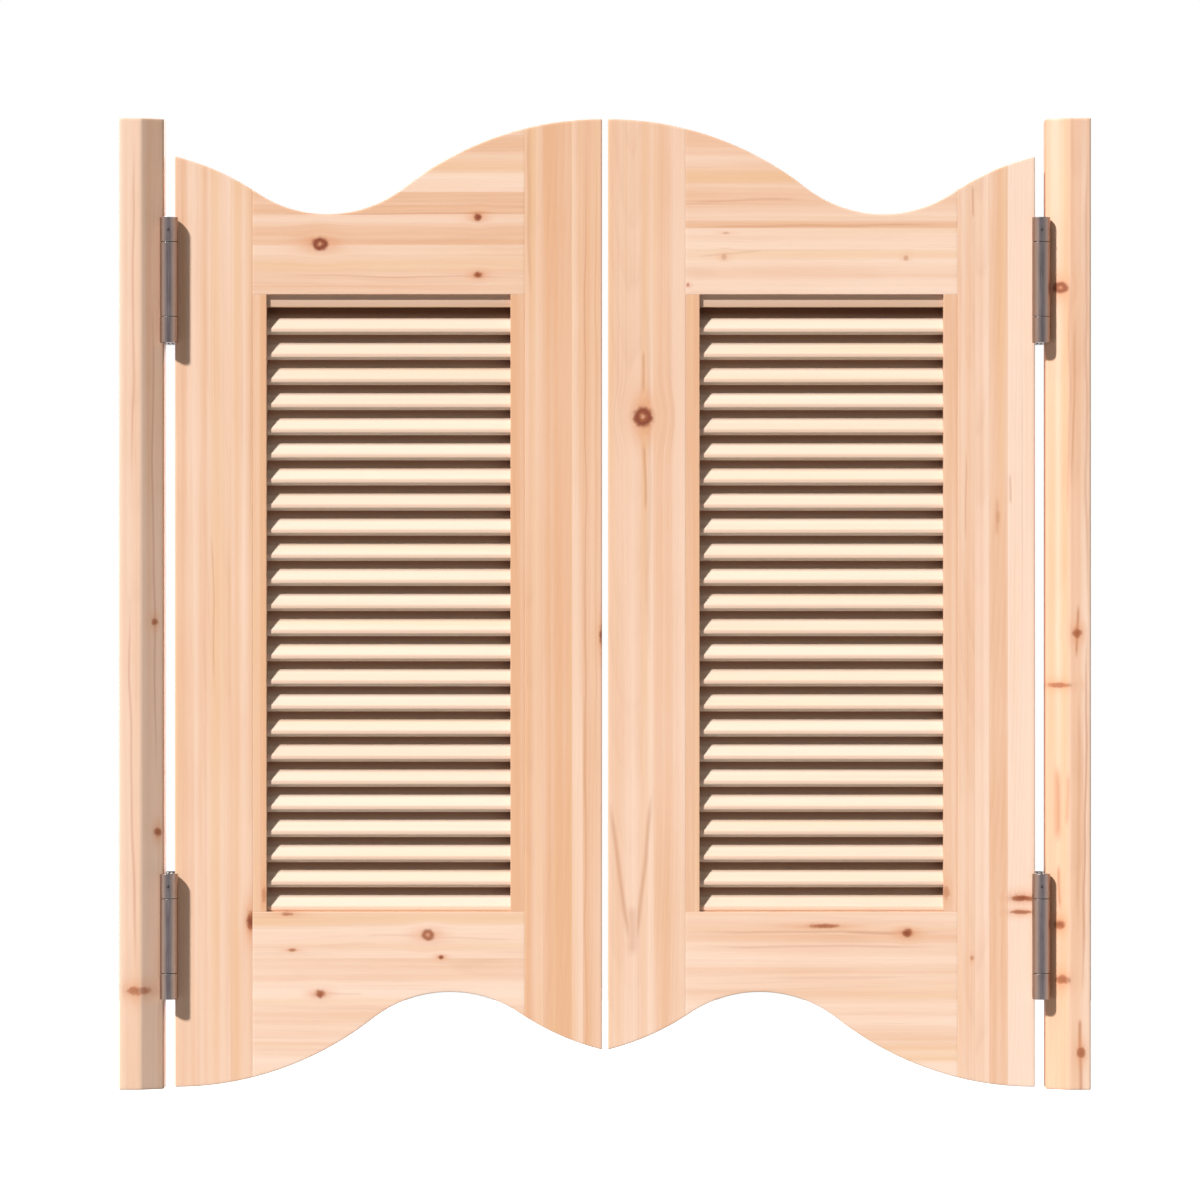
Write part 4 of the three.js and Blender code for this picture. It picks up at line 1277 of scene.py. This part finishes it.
def screw_shell(across, height):
    """Face at radius r and angle a sinks by the cross depth where |r cos a| or |r sin a| is less than
    half an arm and r is less than the arm's reach; the cone and the core follow below the rim."""
    radius = np.concatenate([CROSS_FIELD, [SCREW_RING, SCREW_RADIUS - SCREW_EASE, SCREW_RADIUS]])[:, None]
    angle = np.linspace(0, 2 * np.pi, ROUND_SIDES, endpoint=False)
    x = radius * np.cos(angle)
    y = radius * np.sin(angle)
    arm = np.minimum(np.abs(x), np.abs(y))
    inside = np.clip((CROSS_HALF - arm) / CROSS_SLOPE, 0, 1)
    z = -CROSS_DEPTH * inside * np.clip((CROSS_REACH - radius) / CROSS_END_SLOPE, 0, 1)
    z[-1] = -SCREW_EASE
    below = np.array([[-SCREW_SINK], [-SCREW_END]])
    x = np.concatenate([x, np.tile(SCREW_CORE * np.cos(angle), (2, 1))])
    y = np.concatenate([y, np.tile(SCREW_CORE * np.sin(angle), (2, 1))])
    z = np.concatenate([z, np.tile(below, ROUND_SIDES)])
    rows = np.stack([PLATE_FACE + SCREW_PROUD + z, across + y, height + x], axis=-1)
    rubbed = (np.abs(arm - CROSS_HALF) < CROSS_RUB) * CROSS_WEAR
    return skin(rows, np.concatenate([rubbed, np.zeros((2, ROUND_SIDES))]))


def screw_shells():
    """One screw at each height, to one side and the other of the flange's middle."""
    sides = np.resize([-SCREW_STAGGER, SCREW_STAGGER], len(SCREW_HEIGHTS))
    return [screw_shell(across, height) for across, height in zip(sides, SCREW_HEIGHTS)]


print("screws to a flange:", len(SCREW_HEIGHTS))

# %% [markdown]
# The four hinges repeat the same pieces. On the left the post's barrel is in front and the leaf's
# behind; the right hinges are the left ones turned half round. Springs are hidden inside the barrels,
# so the frame's own coils stay and only get their finish.


# %% Set out the hinges
def set_half(prefix, carrier, body, turn, foot, line):
    """Places one half of a hinge: turned by half a circle about Z if `turn` is -1, so that x and y
    change sign, and moved to the hinge's line and foot."""
    def put(shells):
        half_turn = np.array([turn, turn, 1.0])
        return [moved({**shell, "points": shell["points"] * half_turn}, (line, 0, foot)) for shell in shells]
    node = f"{prefix}_{carrier}"
    flange = put(flange_shells())
    make_piece(f"{node}_flange_plate", flange, SATIN_STEEL, body, "satin_steel", f"{node}_flange")
    make_piece(f"{node}_screws", put(screw_shells()), TURNED_STEEL, body, "turned_steel")
    inner = {
        "spindle": (spindle_shell(), TURNED_STEEL),
        "collar": (collar_shell(), TURNED_STEEL),
        "tension_pin": (pin_shell(), PIN_STEEL),
    }
    for name, (shell, finish) in inner.items():
        shells = put([moved(shell, (0, -BARREL_REACH, 0))])
        make_piece(f"{node}_{name}_turned", shells, finish, body, "turned_steel", f"{node}_{name}")
    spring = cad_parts[f"{node}_spring"].data
    spring.materials.clear()
    spring.materials.append(SPRING_STEEL)


for side, turn in (("left", 1), ("right", -1)):
    for place in ("lower", "upper"):
        prefix = f"{side}_{place}"
        low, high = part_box(f"{prefix}_web")
        line = (low.x + high.x) / 2
        set_half(prefix, "post", "posts", turn, low.z, line)
        set_half(prefix, "leaf", f"{side}_leaf", -turn, low.z, line)
        web = [moved(shell, (line, 0, low.z)) for shell in web_shells()]
        links = f"{side}_hinge_links"
        make_piece(f"{prefix}_web_plate", web, SATIN_STEEL, links, "satin_steel", f"{prefix}_web")

# %% [markdown]
# The doors are seen square from the front, at mid height and from five and a half metres, so the
# two leaves show almost no perspective. The lens follows from the distance and from the width that
# the view takes in at the front of the leaves.

# %% Camera
FRONT_PLANE = -LEAF_HALF
VIEW_DISTANCE = 5.5
VIEW_WIDTH = 1.2
VIEW_CENTRE = (-0.005, 0.489)
SENSOR = 36.0
camera_data = bpy.data.cameras.new("camera")
camera_data.sensor_width = SENSOR
camera_data.lens = SENSOR * VIEW_DISTANCE / VIEW_WIDTH
camera = bpy.data.objects.new("camera", camera_data)
camera.location = (VIEW_CENTRE[0], FRONT_PLANE - VIEW_DISTANCE, VIEW_CENTRE[1])
camera.rotation_euler = (math.pi / 2, 0, 0)
bpy.context.scene.collection.objects.link(camera)
bpy.context.scene.camera = camera
print("lens", round(camera_data.lens, 1), "mm")

# %% [markdown]
# A lamp high on the left lights the sloping slats and leaves the gaps between them dark. It is small,
# so the shadows of the barrels keep their shape. A second, very soft lamp behind the doors lights
# their backs. Both are distant lamps, whose light is even over the whole object.

# %% Lamps
KEY_FROM = (-0.52, -0.52, 0.68)
KEY_STRENGTH = 4.75
KEY_SOFTNESS = math.radians(4)
BACK_FROM = (0.45, 0.87, 0.2)
BACK_STRENGTH = 2.2
BACK_SOFTNESS = math.radians(40)


def add_lamp(name, origin, strength, softness):
    """A distant lamp that shines from a direction; its softness is the angle it fills."""
    data = bpy.data.lights.new(name, "SUN")
    data.energy = strength
    data.angle = softness
    lamp = bpy.data.objects.new(name, data)
    lamp.rotation_euler = Vector(origin).to_track_quat("Z", "Y").to_euler()
    bpy.context.scene.collection.objects.link(lamp)


add_lamp("key", KEY_FROM, KEY_STRENGTH, KEY_SOFTNESS)
add_lamp("back_fill", BACK_FROM, BACK_STRENGTH, BACK_SOFTNESS)
print("lamps:", len(bpy.data.lights))

# %% [markdown]
# The surround is white to the eye and in reflections, but it lights the doors only faintly, so the
# lamps alone set the tones. The kind of ray tells the two apart.

# %% Surround
WHITE = (1.0, 1.0, 1.0, 1.0)
AMBIENT = 0.10


def seen_share(tree):
    """1 for rays that come from the camera, a reflection or a glass piece, else 0."""
    rays = tree.nodes.new("ShaderNodeLightPath")
    names = ("Is Camera Ray", "Is Glossy Ray", "Is Transmission Ray")
    seen, glossy, through = (Field(tree, rays.outputs[name]) for name in names)
    return seen.most(glossy).most(through)


world = bpy.data.worlds.new("surround")
bpy.context.scene.world = world
world.use_nodes = True
tree = world.node_tree
ambient = tree.nodes["Background"]
ambient.inputs["Color"].default_value = WHITE
ambient.inputs["Strength"].default_value = AMBIENT
backdrop = tree.nodes.new("ShaderNodeBackground")
backdrop.inputs["Color"].default_value = WHITE
choice = tree.nodes.new("ShaderNodeMixShader")
connect(tree, seen_share(tree), choice.inputs[0])
tree.links.new(ambient.outputs[0], choice.inputs[1])
tree.links.new(backdrop.outputs[0], choice.inputs[2])
tree.links.new(choice.outputs[0], tree.nodes["World Output"].inputs["Surface"])
bpy.context.scene.view_settings.view_transform = "Standard"
print("ambient light", AMBIENT)

# %% [markdown]
# The doors hang in an opening clear of the ground, so the floor lies lower and takes their shadow
# there. It is pale grey with a lift toward white for the eye, which grows with the distance so that
# floor and surround run into each other.

# %% Floor
FLOOR_HEIGHT = -0.35
FLOOR_HALF = 6.0
FLOOR_GREY = (0.27, 0.27, 0.27, 1.0)
FLOOR_LIFT, FAR_LIFT = 0.74, 0.5
FAR_RISE = (1.2, 3.2)
floor_material, tree, shader, place = new_material("floor_white")
shader.inputs["Base Color"].default_value = FLOOR_GREY
shader.inputs["Roughness"].default_value = 1.0
shader.inputs["Emission Color"].default_value = WHITE
away = place[0].hypot(place[1])
lift = seen_share(tree) * (away.step(*FAR_RISE) * FAR_LIFT + FLOOR_LIFT)
connect(tree, lift, shader.inputs["Emission Strength"])
floor_mesh = bpy.data.meshes.new("floor")
corners = (2 * UNIT_SQUARE - 1) * FLOOR_HALF
floor_mesh.from_pydata([(x, y, FLOOR_HEIGHT) for x, y in corners.tolist()], [], [(0, 1, 2, 3)])
floor_mesh.materials.append(floor_material)
floor = bpy.data.objects.new("floor", floor_mesh)
bpy.context.scene.collection.objects.link(floor)
print("floor at", FLOOR_HEIGHT, "m")

# %% [markdown]
